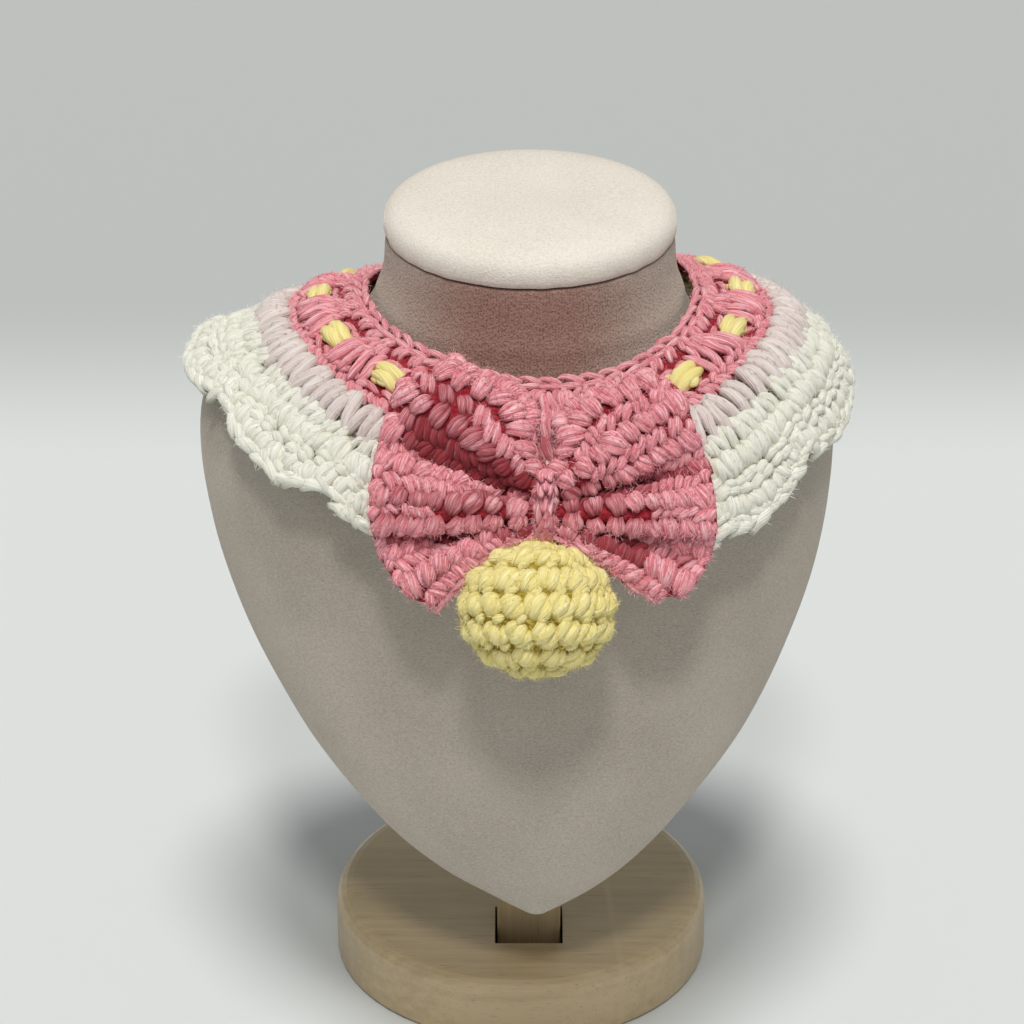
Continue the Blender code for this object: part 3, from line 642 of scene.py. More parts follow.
class StitchLayer:
    """All stitches of one piece, joined as they are laid."""

    TURN = 12.0         # degrees, like the next three the most that a stitch differs by
    GROWTH = 0.08
    SHIFT = 0.25        # millimetres, as is the next
    LIFT = 0.15
    RAISED = 0.55       # fibres grow where the depth is above this

    def __init__(self, maker: StitchMaker, seed: int, wobble: float = 1.0) -> None:
        """Start an empty layer.

        Args:
            maker: gives the stitch shapes.
            seed: of the small differences between stitches.
            wobble: how large those are.
        """
        self.maker = maker
        self.random = random.Random(seed)
        self.wobble = wobble
        self.bm = bmesh.new()

    def lay(self, kind: Stitch, where: Matrix, width: float, height: float, thick: float = 1.0,
            turn: float = 0.0, sunk: float = 0.0, shade: float = 0.0) -> None:
        """Lay one stitch.

        Args:
            kind: which stitch.
            where: its place, with X to the right, Y up and Z out.
            width: of its cell in millimetres.
            height: of its cell in millimetres.
            thick: what its height off the cloth is multiplied by, of the cell's smaller side.
            turn: degrees that it is turned about Z.
            sunk: millimetres that it lies deeper.
            shade: 0 to 1, how much painted shade it takes for lying deep in a fold.
        """
        draw = self.random.uniform
        angle = math.radians(turn + draw(-self.TURN, self.TURN) * self.wobble)
        grown = 1.0 + draw(-self.GROWTH, self.GROWTH) * self.wobble
        rise = min(width, height) * thick
        size = Matrix.Diagonal((width * grown * MM, height * grown * MM, rise * MM, 1.0))
        shift = Matrix.Translation((draw(-self.SHIFT, self.SHIFT) * self.wobble * MM,
                                    draw(-self.SHIFT, self.SHIFT) * self.wobble * MM,
                                    (draw(-self.LIFT, self.LIFT) * self.wobble - sunk) * MM))
        copy = self.maker.shape(kind, self.random.randrange(StitchMaker.VARIANTS)).copy()
        copy.transform(where @ shift @ Matrix.Rotation(angle, 4, "Z") @ size)
        tones = copy.attributes["tone"].data
        tones.foreach_set("value", [draw(0.0, 1.0)] * len(tones))
        # painted shade in a fold: a lower depth and the shade attribute darken the strands
        if shade:
            depths = copy.attributes["depth"].data
            for depth in depths:
                depth.value *= 1.0 - 0.9 * shade
            shades = copy.attributes["shade"].data
            shades.foreach_set("value", [shade * shade] * len(shades))
        self.bm.from_mesh(copy)
        bpy.data.meshes.remove(copy)

    def piece(self, name: str, finish: YarnFinish, hairs: int) -> list[bpy.types.Object]:
        """Close the layer.

        Args:
            name: of the layer's object.
            finish: its yarn.
            hairs: how many loose fibres stand off it.

        Returns:
            The object of the strands and that of the fibres.
        """
        made = add_piece(name, self.bm, finish.strand())
        fuzz = self._fuzz(made, name + "_fuzz", finish, hairs)
        ride(made, finish.name)
        ride(fuzz, finish.name)
        return [made, fuzz]

    def _fuzz(self, made: bpy.types.Object, name: str, finish: YarnFinish, hairs: int) -> bpy.types.Object:
        """Fine bent fibres on the raised side of the strands."""
        seed = bmesh.new()
        tones = seed.verts.layers.float.new("tone")
        bmesh.ops.create_grid(seed, x_segments=1, y_segments=3, size=0.5)
        for vert in seed.verts:
            rise = vert.co.y + 0.5
            vert.co = (vert.co.x * (1.0 - 0.75 * rise), 0.55 * rise * rise, rise)
            vert[tones] = rise
        template = bpy.data.meshes.new("fibre")
        seed.to_mesh(template)
        seed.free()
        mesh = made.data
        depths = mesh.attributes["depth"].data
        raised = [vert.index for vert in mesh.vertices if depths[vert.index].value > self.RAISED]
        bm = bmesh.new()
        draw = self.random.uniform
        for _ in range(hairs):
            vert = mesh.vertices[self.random.choice(raised)]
            out = (vert.normal + Vector((draw(-1, 1), draw(-1, 1), draw(-1, 1))) * 0.9).normalized()
            size = Matrix.Diagonal((0.14 * MM, draw(0.6, 1.8) * MM, draw(0.5, 1.5) * MM, 1.0))
            turned = out.to_track_quat("Z", "Y").to_matrix().to_4x4()
            copy = template.copy()
            spin = Matrix.Rotation(draw(0, math.tau), 4, "Z")
            copy.transform(Matrix.Translation(vert.co) @ turned @ spin @ size)
            bm.from_mesh(copy)
            bpy.data.meshes.remove(copy)
        bpy.data.meshes.remove(template)
        return add_piece(name, bm, finish.fuzz())


# ============================================================ forms of the bib

class Drape(NamedTuple):
    """How the bib's cloth lies at one angle round the neck, 0 being the front."""

    angle: float
    neck_r: float
    neck_z: float
    band: float
    posts: float
    ruffle: float


class Scallop(NamedTuple):
    """One scallop: the angle where it starts, and the ruffle's width there."""

    start: float
    width: float


@dataclass
class BibForm:
    """The lie of the bib's cloth, as the solids have it."""

    band_width: float = 20.0
    post_width: float = 8.0
    scallop_depth: float = 5.0
    wave: float = 1.3
    eyelet_at: float = 11.5
    eyelet_length: float = 8.4
    eyelet_width: float = 5.2
    drape: tuple[Drape, ...] = (
        Drape(-180.0, 41.2, 184.6, 48.0, 60.0, 66.0),
        Drape(-150.0, 41.0, 186.6, 46.0, 58.0, 62.0),
        Drape(-120.0, 40.2, 192.0, 30.0, 42.0, 42.0),
        Drape(-90.0, 39.7, 195.4, 12.0, 24.0, 21.0),
        Drape(-60.0, 39.4, 195.0, 16.0, 28.0, 32.0),
        Drape(-30.0, 39.7, 193.0, 27.0, 42.0, 54.0),
        Drape(0.0, 40.6, 190.6, 36.0, 58.0, 74.0),
        Drape(30.0, 40.8, 191.0, 25.0, 38.0, 62.0),
        Drape(60.0, 40.0, 193.4, 9.0, 20.0, 62.0),
        Drape(90.0, 39.9, 195.4, 11.0, 26.0, 58.0),
        Drape(120.0, 40.2, 194.2, 25.0, 42.0, 56.0),
        Drape(150.0, 41.0, 188.4, 44.0, 57.0, 60.0),
    )
    scallops: tuple[Scallop, ...] = (
        Scallop(-157.0, 15.0), Scallop(-127.0, 15.0), Scallop(-97.0, 14.5), Scallop(-68.0, 12.5),
        Scallop(-40.0, 13.5), Scallop(-13.0, 14.5), Scallop(12.0, 15.0), Scallop(36.0, 18.5),
        Scallop(57.0, 16.0), Scallop(86.0, 15.0), Scallop(118.0, 15.0), Scallop(146.0, 15.0),
        Scallop(174.0, 15.0),
    )
    eyelets: tuple[float, ...] = (-167.0, -142.0, -116.0, -90.0, -65.0, -41.0, -15.0,
                                  18.0, 45.0, 70.0, 94.0, 118.0, 142.0, 167.0)

    def lie_at(self, angle: float) -> np.ndarray:
        """The drape table read smoothly at any angle: neck_r, neck_z, band, posts, ruffle."""
        count = len(self.drape)
        spot = ((angle + 180.0) % 360.0) / (360.0 / count)
        index = int(spot)
        t = spot - index
        before, here, after, beyond = (np.array(self.drape[(index + k) % count][1:]) for k in (-1, 0, 1, 2))
        return here + 0.5 * t * ((after - before) + t * ((2 * before - 5 * here + 4 * after - beyond)
                                                         + t * (3 * (here - after) + beyond - before)))

    def point(self, angle: float, distance: float, lift: float = 0.0) -> Vector:
        """A point of the cloth in metres.

        Args:
            angle: degrees round the neck from the front.
            distance: millimetres along the cloth from the neck edge.
            lift: millimetres out of the middle of the cloth.

        Returns:
            The point.
        """
        neck_r, neck_z, band, posts, ruffle = self.lie_at(angle)
        along = np.arange(-4.0, 56.0)
        slope = np.radians(np.interp(along, (8.0, 24.0, 37.0), (band, posts, ruffle)))
        flat = np.concatenate(([0.0], np.cumsum(np.cos(slope))[:-1]))
        drop = np.concatenate(([0.0], np.cumsum(np.sin(slope))[:-1]))
        tilt = float(np.interp(distance, along, slope))
        r = neck_r + float(np.interp(distance, along, flat)) - float(flat[4]) + lift * math.sin(tilt)
        z = neck_z - float(np.interp(distance, along, drop)) + float(drop[4]) + lift * math.cos(tilt)
        a = math.radians(angle)
        return Vector(((NECK_X + r * math.sin(a)) * MM, -(NECK_FORWARD + r * math.cos(a)) * MM, z * MM))

    def frame(self, angle: float, distance: float, lift: float = 0.0) -> Matrix:
        """A placing matrix on the cloth: X round the neck, Y towards the neck, Z out."""
        return surface_frame(lambda a, d: self.point(a, d, lift), angle, distance, 1.0, -1.0)

    def pitch(self, distance: float) -> float:
        """Millimetres round the cloth for one degree, at the left side."""
        step = self.point(-59.0, distance) - self.point(-61.0, distance)
        return step.length / MM / 2.0

    def spacing(self, distance: float, count: int) -> float:
        """Millimetres between stitches where that many go round the cloth."""
        return self.pitch(distance) * 360.0 / count

    def off_eyelet(self, angle: float) -> float:
        """Degrees from the middle of the nearest eyelet."""
        return min(abs((angle - eyelet + 180.0) % 360.0 - 180.0) for eyelet in self.eyelets)

    def area(self, first: float, last: float) -> float:
        """Square metres of cloth between two distances from the neck edge."""
        steps = 72
        total = 0.0
        for angle in ring(steps):
            inner, outer = self.point(angle, first), self.point(angle, last)
            width = (self.point(angle + 360.0 / steps, (first + last) / 2)
                     - self.point(angle, (first + last) / 2)).length
            total += width * (outer - inner).length
        return total

    def rim(self, share_round: float) -> tuple[float, float, float]:
        """The ruffle's rim at a share of the way round.

        Args:
            share_round: 0 to 1, in equal parts for each scallop.

        Returns:
            Angle in degrees, width of the ruffle in millimetres, and swell, 0 at a cusp and 1
            in the middle of a scallop.
        """
        count = len(self.scallops)
        spot = (share_round % 1.0) * count
        index = min(int(spot), count - 1)
        t = spot - index
        here, after = self.scallops[index], self.scallops[(index + 1) % count]
        end = after.start + (360.0 if index == count - 1 else 0.0)
        swell = math.sin(math.pi * min(t, 1.0)) ** 0.6 if 0.0 < t < 1.0 else 0.0
        width = here.width + (after.width - here.width) * t + self.scallop_depth * swell
        return here.start + (end - here.start) * t, width, swell

    def ruffle_point(self, share_round: float, part: float, lift: float = 0.0) -> Vector:
        """A point of the ruffle at a share of the way round and a share of its width."""
        angle, width, swell = self.rim(share_round)
        wave = self.wave * (1.0 - 2.0 * swell) * max(part, 0.0) ** 1.5
        return self.point(angle, self.band_width + self.post_width + 0.3 + width * part, lift + wave)

    def ruffle_frame(self, share_round: float, part: float, lift: float = 0.0) -> Matrix:
        """A placing matrix on the ruffle: X round the neck, Y towards the neck, Z out."""
        return surface_frame(lambda s, t: self.ruffle_point(s, t, lift), share_round, part, 0.004, -0.05)


class FanRow(NamedTuple):
    """A row of the fan under the bow: millimetres from the neck edge, degrees that it spreads to
    each side, millimetres that it is lifted, and how much painted shade it takes under the bow."""

    distance: float
    spread: float
    lift: float
    shade: float


@dataclass
class Band:
    """Pink band round the neck: an edge chain, puffs between the eyelets, and an outer row."""

    form: BibForm
    maker: StitchMaker
    seed: int = 11
    hairs: int = 10000
    wall: float = 1.2
    chain_links: int = 54
    outer_stitches: int = 84
    cluster_legs: int = 5
    fan_legs: int = 9
    # the outer rows lie under the bow and take painted shade
    fan: tuple[FanRow, ...] = (FanRow(7.6, 12.5, 0.9, 0.0), FanRow(13.0, 9.0, 1.6, 0.1),
                               FanRow(18.8, 6.0, 2.0, 0.6), FanRow(24.4, 4.6, 2.2, 0.95))
    front_gap: int = 6          # the eyelet before the front, where the bow sits

    def build(self) -> None:
        """Make the cloth and its stitches."""
        cloth = self._cloth()
        stitches = self._stitches()
        self.form.area(0.5, self.form.band_width - 0.3)

    def _cloth(self) -> bpy.types.Object:
        """Thin cloth with the eyelets left open."""
        form = self.form
        half_long = form.eyelet_length / 2 / form.pitch(form.eyelet_at)

        def distance(t: float) -> float:
            """Millimetres from the neck edge for the share across the band."""
            return 0.6 + (form.band_width - 1.0) * t

        def place(s: float, t: float) -> Vector:
            """Point for the shares round the neck and across the band."""
            return form.point(-180.0 + 360.0 * s, distance(t), -0.2)

        def keep(s: float, t: float) -> bool:
            """True outside the eyelets."""
            across = abs(distance(t) - form.eyelet_at)
            return form.off_eyelet(-180.0 + 360.0 * s) > half_long or across > form.eyelet_width / 2

        return cloth_piece("band_cloth", curved_grid(288, 19, place, keep), PINK, self.wall,
                           "band_left", "band_right")

    def _stitches(self) -> list[bpy.types.Object]:
        """Rows of stitches over the cloth."""
        form = self.form
        layer = StitchLayer(self.maker, self.seed)
        wide = form.spacing(1.0, self.chain_links)
        for angle in ring(self.chain_links):
            layer.lay(Stitch.LINK, form.frame(angle, 1.2, 0.6), wide * 1.2, 3.6, 0.95)
            layer.lay(Stitch.LEGS, form.frame(angle + 2.0, 4.0, 0.5), wide * 0.92, 3.8, 0.95, turn=12.0)
        for i, eyelet in enumerate(form.eyelets):
            after = form.eyelets[(i + 1) % len(form.eyelets)] + (360.0 if i == len(form.eyelets) - 1 else 0.0)
            if i == self.front_gap:
                self._front_fan(layer)
            else:
                self._cluster(layer, eyelet, after)
            self._eyelet_rim(layer, eyelet)
        wide = form.spacing(18.6, self.outer_stitches)
        for angle in ring(self.outer_stitches):
            layer.lay(Stitch.LEGS_BACK, form.frame(angle, 18.3, 0.4), wide * 1.05, 3.6, 0.9)
        return layer.piece("band_stitches", PINK, self.hairs)

    def _cluster(self, layer: StitchLayer, eyelet: float, after: float) -> None:
        """A puff of long legs between two eyelets, drawn together at the neck side."""
        middle = (eyelet + after) / 2
        reach = (after - eyelet) / 2 - self.form.eyelet_length / 2 / self.form.pitch(self.form.eyelet_at) + 1.0

        def frame(spread: float, distance: float, lift: float) -> Matrix:
            """Placing matrix of this leg, at a share of the reach from the middle."""
            return self.form.frame(middle + side * reach * spread, distance, lift)

        for side in spread_sides(self.cluster_legs):
            high = 1.9 - 1.1 * side * side
            layer.lay(Stitch.POST, frame(0.92, 12.4, high), 4.9, 8.6, 1.05, turn=side * 8.0)
            layer.lay(Stitch.POST, frame(0.66, 8.0, high - 0.6), 4.0, 6.0, turn=side * 14.0)
            layer.lay(Stitch.LOOP, frame(1.02, 16.2, 0.6), 3.6, 3.2, turn=60.0)

    def _front_fan(self, layer: StitchLayer) -> None:
        """Long legs that fan in under the bow, over the posts behind it."""
        for side in spread_sides(self.fan_legs):
            for row in self.fan:
                where = self.form.frame(1.0 + side * row.spread, row.distance, row.lift)
                layer.lay(Stitch.POST, where, 4.8, 7.6, 1.05, turn=side * 16.0, shade=row.shade)

    def _eyelet_rim(self, layer: StitchLayer, eyelet: float) -> None:
        """Strands that bound an eyelet on its neck side and its outer side."""
        form = self.form
        for distance, lean in ((form.eyelet_at - form.eyelet_width / 2 - 1.2, 12.0),
                               (form.eyelet_at + form.eyelet_width / 2 + 1.3, -12.0)):
            for shift in (-3.0, 2.6):
                layer.lay(Stitch.LAID, form.frame(eyelet + shift, distance, 0.2), 4.6, 2.8, 0.95, turn=lean)


@dataclass
class Drawstring:
    """Pale yellow braid that runs under the band and swells in its eyelets."""

    form: BibForm
    maker: StitchMaker
    seed: int = 23
    hairs: int = 1600
    turns: int = 150
    depth: float = 3.6          # under the band's middle, between the eyelets
    rise: float = 4.3           # how much higher it lies in an eyelet
    ramp: float = 6.5           # degrees over which it rises

    def build(self) -> None:
        """Make the braid, in place of the CAD cord."""
        form = self.form
        layer = StitchLayer(self.maker, self.seed, 0.6)
        wide = form.spacing(form.eyelet_at, self.turns) * 1.9
        for angle in ring(self.turns):
            where = self._frame(angle)
            layer.lay(Stitch.LINK, moved(where, 0.7), wide, 6.0, 0.75)
            layer.lay(Stitch.LINK, moved(where @ Matrix.Rotation(math.pi, 4, "X"), 0.3), wide, 4.6, 0.7)
        for eyelet in form.eyelets:
            for across, long in ((-1.2, 9.4), (1.2, 8.4)):
                layer.lay(Stitch.LAID, form.frame(eyelet, form.eyelet_at + across, 0.9), long, 5.6, turn=8.0)
        braid, _ = layer.piece("drawstring_braid", YELLOW, self.hairs)
        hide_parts("drawstring")

    def _frame(self, angle: float) -> Matrix:
        """Placing matrix along the cord, which rises where an eyelet is."""
        form = self.form
        near = max(0.0, 1.0 - form.off_eyelet(angle) / self.ramp)
        return form.frame(angle, form.eyelet_at, -self.depth + self.rise * (near * near * (3 - 2 * near)))


@dataclass
class PostRow:
    """Pale tall stitches in pairs, from the band down to the ruffle."""

    form: BibForm
    maker: StitchMaker
    seed: int = 37
    hairs: int = 4000
    wall: float = 1.0
    pairs: int = 64

    def build(self) -> None:
        """Make the cloth and its pairs of posts."""
        form = self.form
        first = form.band_width + 0.3
        last = form.band_width + form.post_width - 0.3

        def place(s: float, t: float) -> Vector:
            """Point for the shares round the neck and across the row."""
            return form.point(-180.0 + 360.0 * s, first + (last - first) * t, -0.4)

        cloth = cloth_piece("post_cloth", curved_grid(256, 8, place), PALE, self.wall, "post_row")
        layer = StitchLayer(self.maker, self.seed)
        wide = form.spacing(24.0, self.pairs) * 1.12
        for angle in ring(self.pairs):
            layer.lay(Stitch.ARCH, form.frame(angle, 24.2, 0.4), wide, 9.4, 1.2)
        stitches = layer.piece("post_stitches", PALE, self.hairs)
        form.area(first, last)


class ShellRow(NamedTuple):
    """A row of stitches in each shell: how far down it lies and how wide it spreads, as shares,
    its height in millimetres, and its kind of stitch."""

    part: float
    pinch: float
    height: float
    kind: Stitch


@dataclass
class Ruffle:
    """White shell edging: fans of tall stitches with a thick looped rim."""

    form: BibForm
    maker: StitchMaker
    seed: int = 41
    hairs: int = 13000
    wall: float = 1.4
    columns: int = 22           # faces of cloth in one scallop
    tall_stitches: int = 8      # in one scallop
    rim_loops: int = 9          # in one scallop
    rows: tuple[ShellRow, ...] = (
        ShellRow(0.08, 0.92, 6.0, Stitch.ARCH), ShellRow(0.32, 0.96, 6.0, Stitch.KNOB),
        ShellRow(0.55, 1.0, 5.6, Stitch.TUFT), ShellRow(0.77, 1.0, 5.6, Stitch.KNOB),
    )

    def build(self) -> None:
        """Make the cloth, the fans and the rim."""
        form = self.form

        def place(s: float, t: float) -> Vector:
            """Point for the shares round the neck and across the ruffle."""
            return form.ruffle_point(s, t, -0.3)

        grid = curved_grid(len(form.scallops) * self.columns, 14, place)
        cloth = cloth_piece("ruffle_cloth", grid, WHITE, self.wall, "ruffle")
        stitches = self._stitches()
        self._area()

    def _area(self) -> float:
        """Square metres of the ruffle's cloth."""
        form = self.form
        steps = len(form.scallops) * 12
        total = 0.0
        for i in range(steps):
            s = (i + 0.5) / steps
            tall = (form.ruffle_point(s, 1.0) - form.ruffle_point(s, 0.0)).length
            wide = (form.ruffle_point(s + 0.5 / steps, 0.5) - form.ruffle_point(s - 0.5 / steps, 0.5)).length
            total += tall * wide
        return total

    def _stitches(self) -> list[bpy.types.Object]:
        """Fans of tall stitches and the loops of the rim."""
        form = self.form
        layer = StitchLayer(self.maker, self.seed, 2.0)
        count = len(form.scallops)
        for shell in range(count):
            for side in spread_sides(self.tall_stitches):
                for number, row in enumerate(self.rows):
                    shift = 0.25 / self.tall_stitches * (1 if number % 2 else -1)
                    s = (shell + 0.5 + side / 2 * row.pinch + shift) / count
                    layer.lay(row.kind, form.ruffle_frame(s, row.part, 0.5), 5.2, row.height, turn=-side * 14.0)
            for k in range(self.rim_loops):
                s = (shell + (k + 0.5) / self.rim_loops) / count
                layer.lay(Stitch.LAID, form.ruffle_frame(s, 0.955, 0.1), 6.6, 5.0, turn=6.0)
                between = form.ruffle_frame(s + 0.4 / count / self.rim_loops, 0.90, 0.7)
                layer.lay(Stitch.LAID, between, 6.2, 3.8, turn=-4.0)
        return layer.piece("ruffle_stitches", WHITE, self.hairs)


# ========================================================================= bow

class Side(Enum):
    """Which wing of the bow."""

    LEFT = -1
    RIGHT = 1


class Edge(NamedTuple):
    """A point of a wing's outer outline, at a share of the way from top to bottom."""

    share: float
    left_u: float
    left_v: float
    right_u: float
    right_v: float


class Fold(NamedTuple):
    """How far a wing's folds stand out in front at a share of the way down."""

    share: float
    left: float
    right: float


class Crease(NamedTuple):
    """The bottom of a fold: where it starts and ends in the bow's own frame, how many
    millimetres wide it is to each side there, and how dark its painted shade is."""

    u: float
    v: float
    far_u: float
    far_v: float
    width: float
    far_width: float
    dark: float


@dataclass
class BowForm:
    """The bow's own frame and the folds of its wings, as the solids have them."""

    centre: tuple[float, float, float] = (5.2, -81.5, 172.6)
    lean: float = 27.7
    root_u: float = 0.8
    root_top: float = 5.2
    root_height: float = 11.4
    sag: float = 2.8
    shoulder_u: float = 7.6
    shoulder_v: float = 4.2
    shoulder_end: float = 0.28
    edge: tuple[Edge, ...] = (
        Edge(0.00, -22.5, 33.2, 24.5, 30.4), Edge(0.10, -31.8, 30.8, 30.6, 27.6),
        Edge(0.25, -36.9, 20.4, 34.6, 18.2), Edge(0.40, -39.4, 10.8, 37.8, 9.6),
        Edge(0.55, -40.4, 1.4, 39.3, 0.8), Edge(0.70, -39.6, -6.6, 39.4, -7.2),
        Edge(0.85, -35.4, -16.0, 36.6, -14.8), Edge(0.94, -30.6, -21.0, 31.6, -20.0),
        Edge(1.00, -24.6, -23.0, 24.8, -21.0),
    )
    folds: tuple[Fold, ...] = (
        Fold(0.00, 0.5, 0.0), Fold(0.12, 3.6, 2.6), Fold(0.22, 0.4, 3.0), Fold(0.34, -4.6, -2.6),
        Fold(0.40, -3.4, -4.6), Fold(0.48, 1.8, 0.6), Fold(0.56, 2.8, 2.6), Fold(0.64, 2.4, 2.6),
        Fold(0.73, -3.4, -2.8), Fold(0.79, -3.4, -3.4), Fold(0.88, 1.2, 1.2), Fold(1.00, 2.6, 2.6),
    )

    # painted shade along the bottoms of the wings' folds
    creases: tuple[Crease, ...] = (
        Crease(-27.0, 16.4, -4.0, 3.4, 4.2, 2.0, 1.0), Crease(-22.0, 26.0, -14.0, 22.0, 1.6, 1.2, 0.45),
        Crease(-35.0, 1.2, -7.0, 0.9, 0.9, 0.9, 0.55), Crease(-37.0, -5.8, -23.0, -7.4, 1.4, 2.2, 0.6),
        Crease(-23.0, -7.4, -5.0, -4.8, 2.2, 1.4, 1.0), Crease(5.0, 1.2, 16.0, 3.4, 1.6, 2.6, 1.0),
        Crease(16.0, 3.4, 34.0, 8.8, 2.6, 1.3, 0.8), Crease(8.0, -6.0, 22.0, -11.6, 1.5, 2.1, 0.85),
        Crease(22.0, -11.6, 35.0, -14.0, 1.6, 1.0, 0.4), Crease(0.0, 18.5, 0.8, 8.0, 2.4, 1.4, 0.9),
    )

    def point(self, u: float, v: float, w: float) -> Vector:
        """A point in metres from the bow's own frame: U right, V up, W out of the front."""
        lean = math.radians(self.lean)
        x, y, z = self.centre
        return Vector((x + u, y + v * math.sin(lean) - w * math.cos(lean),
                       z + v * math.cos(lean) + w * math.sin(lean))) * MM

    def wing(self, side: Side, along: float, share: float, lift: float = 0.0) -> Vector:
        """A point of a wing.

        Args:
            side: which wing.
            along: share of the way from the wrap to the outer edge.
            share: share of the way from the top edge to the bottom edge.
            lift: millimetres towards the viewer.

        Returns:
            The point in metres.
        """
        u, v = self.flat(side, along, share)
        grown = min(1.0, 0.25 + 2.4 * along) * (1.0 - 0.45 * along ** 2)
        w = self.fold_at(side, share) * grown
        w -= 6.0 * (v / 28.0) ** 2 if v > 0 else 2.0 * (v / 28.0) ** 2
        return self.point(u, v, w + lift)

    def flat(self, side: Side, along: float, share: float) -> tuple[float, float]:
        """U and V of a point of a wing in the bow's own frame, in millimetres."""
        left = side is Side.LEFT
        shares = [row.share for row in self.edge]
        edge_u = smooth_row(shares, [row.left_u if left else row.right_u for row in self.edge], share)
        edge_v = smooth_row(shares, [row.left_v if left else row.right_v for row in self.edge], share)
        root_u = side.value * self.root_u
        root_v = self.root_top - self.root_height * share
        reach = along + 0.10 * math.sin(math.pi * along) * (1.0 - along)
        u = root_u + (edge_u - root_u) * reach
        v = root_v + (edge_v - root_v) * along
        shoulder = (math.sin(math.pi * along) * max(0.0, 1.0 - share / self.shoulder_end)) ** 2
        u -= side.value * self.shoulder_u * shoulder
        v += self.shoulder_v * shoulder
        sag = self.sag * math.sin(math.pi * along) * max(0.0, share - 0.75) / 0.25
        return u, v + (sag if left else 0.2 * sag)

    def fold_at(self, side: Side, share: float) -> float:
        """How far a wing's folds stand out at a share of the way down, in millimetres."""
        column = [row.left if side is Side.LEFT else row.right for row in self.folds]
        return smooth_row([row.share for row in self.folds], column, share)

    def shade_at(self, side: Side, along: float, share: float) -> float:
        """How much painted shade a stitch of a wing takes for lying deep in a fold, 0 to 1."""
        u, v = self.flat(side, along, share)
        deepest = 0.0
        for crease in self.creases:
            run_u, run_v = crease.far_u - crease.u, crease.far_v - crease.v
            t = ((u - crease.u) * run_u + (v - crease.v) * run_v) / (run_u ** 2 + run_v ** 2)
            t = min(1.0, max(0.0, t))
            off = math.hypot(u - crease.u - t * run_u, v - crease.v - t * run_v)
            width = crease.width + (crease.far_width - crease.width) * t
            deepest = max(deepest, crease.dark * min(1.0, max(0.0, 1.8 - off / width)))
        return deepest

    def wing_frame(self, side: Side, along: float, share: float) -> Matrix:
        """A placing matrix on a wing's front: X to the right, Y up and Z out."""
        return surface_frame(lambda a, s: self.wing(side, a, s), along, share, 0.03 * side.value, -0.02)

    def drop(self, side: Side, along: float, share: float) -> float:
        """Millimetres of a wing's cloth that one whole share down stands for."""
        return (self.wing(side, along, share - 0.02) - self.wing(side, along, share + 0.02)).length / MM / 0.04


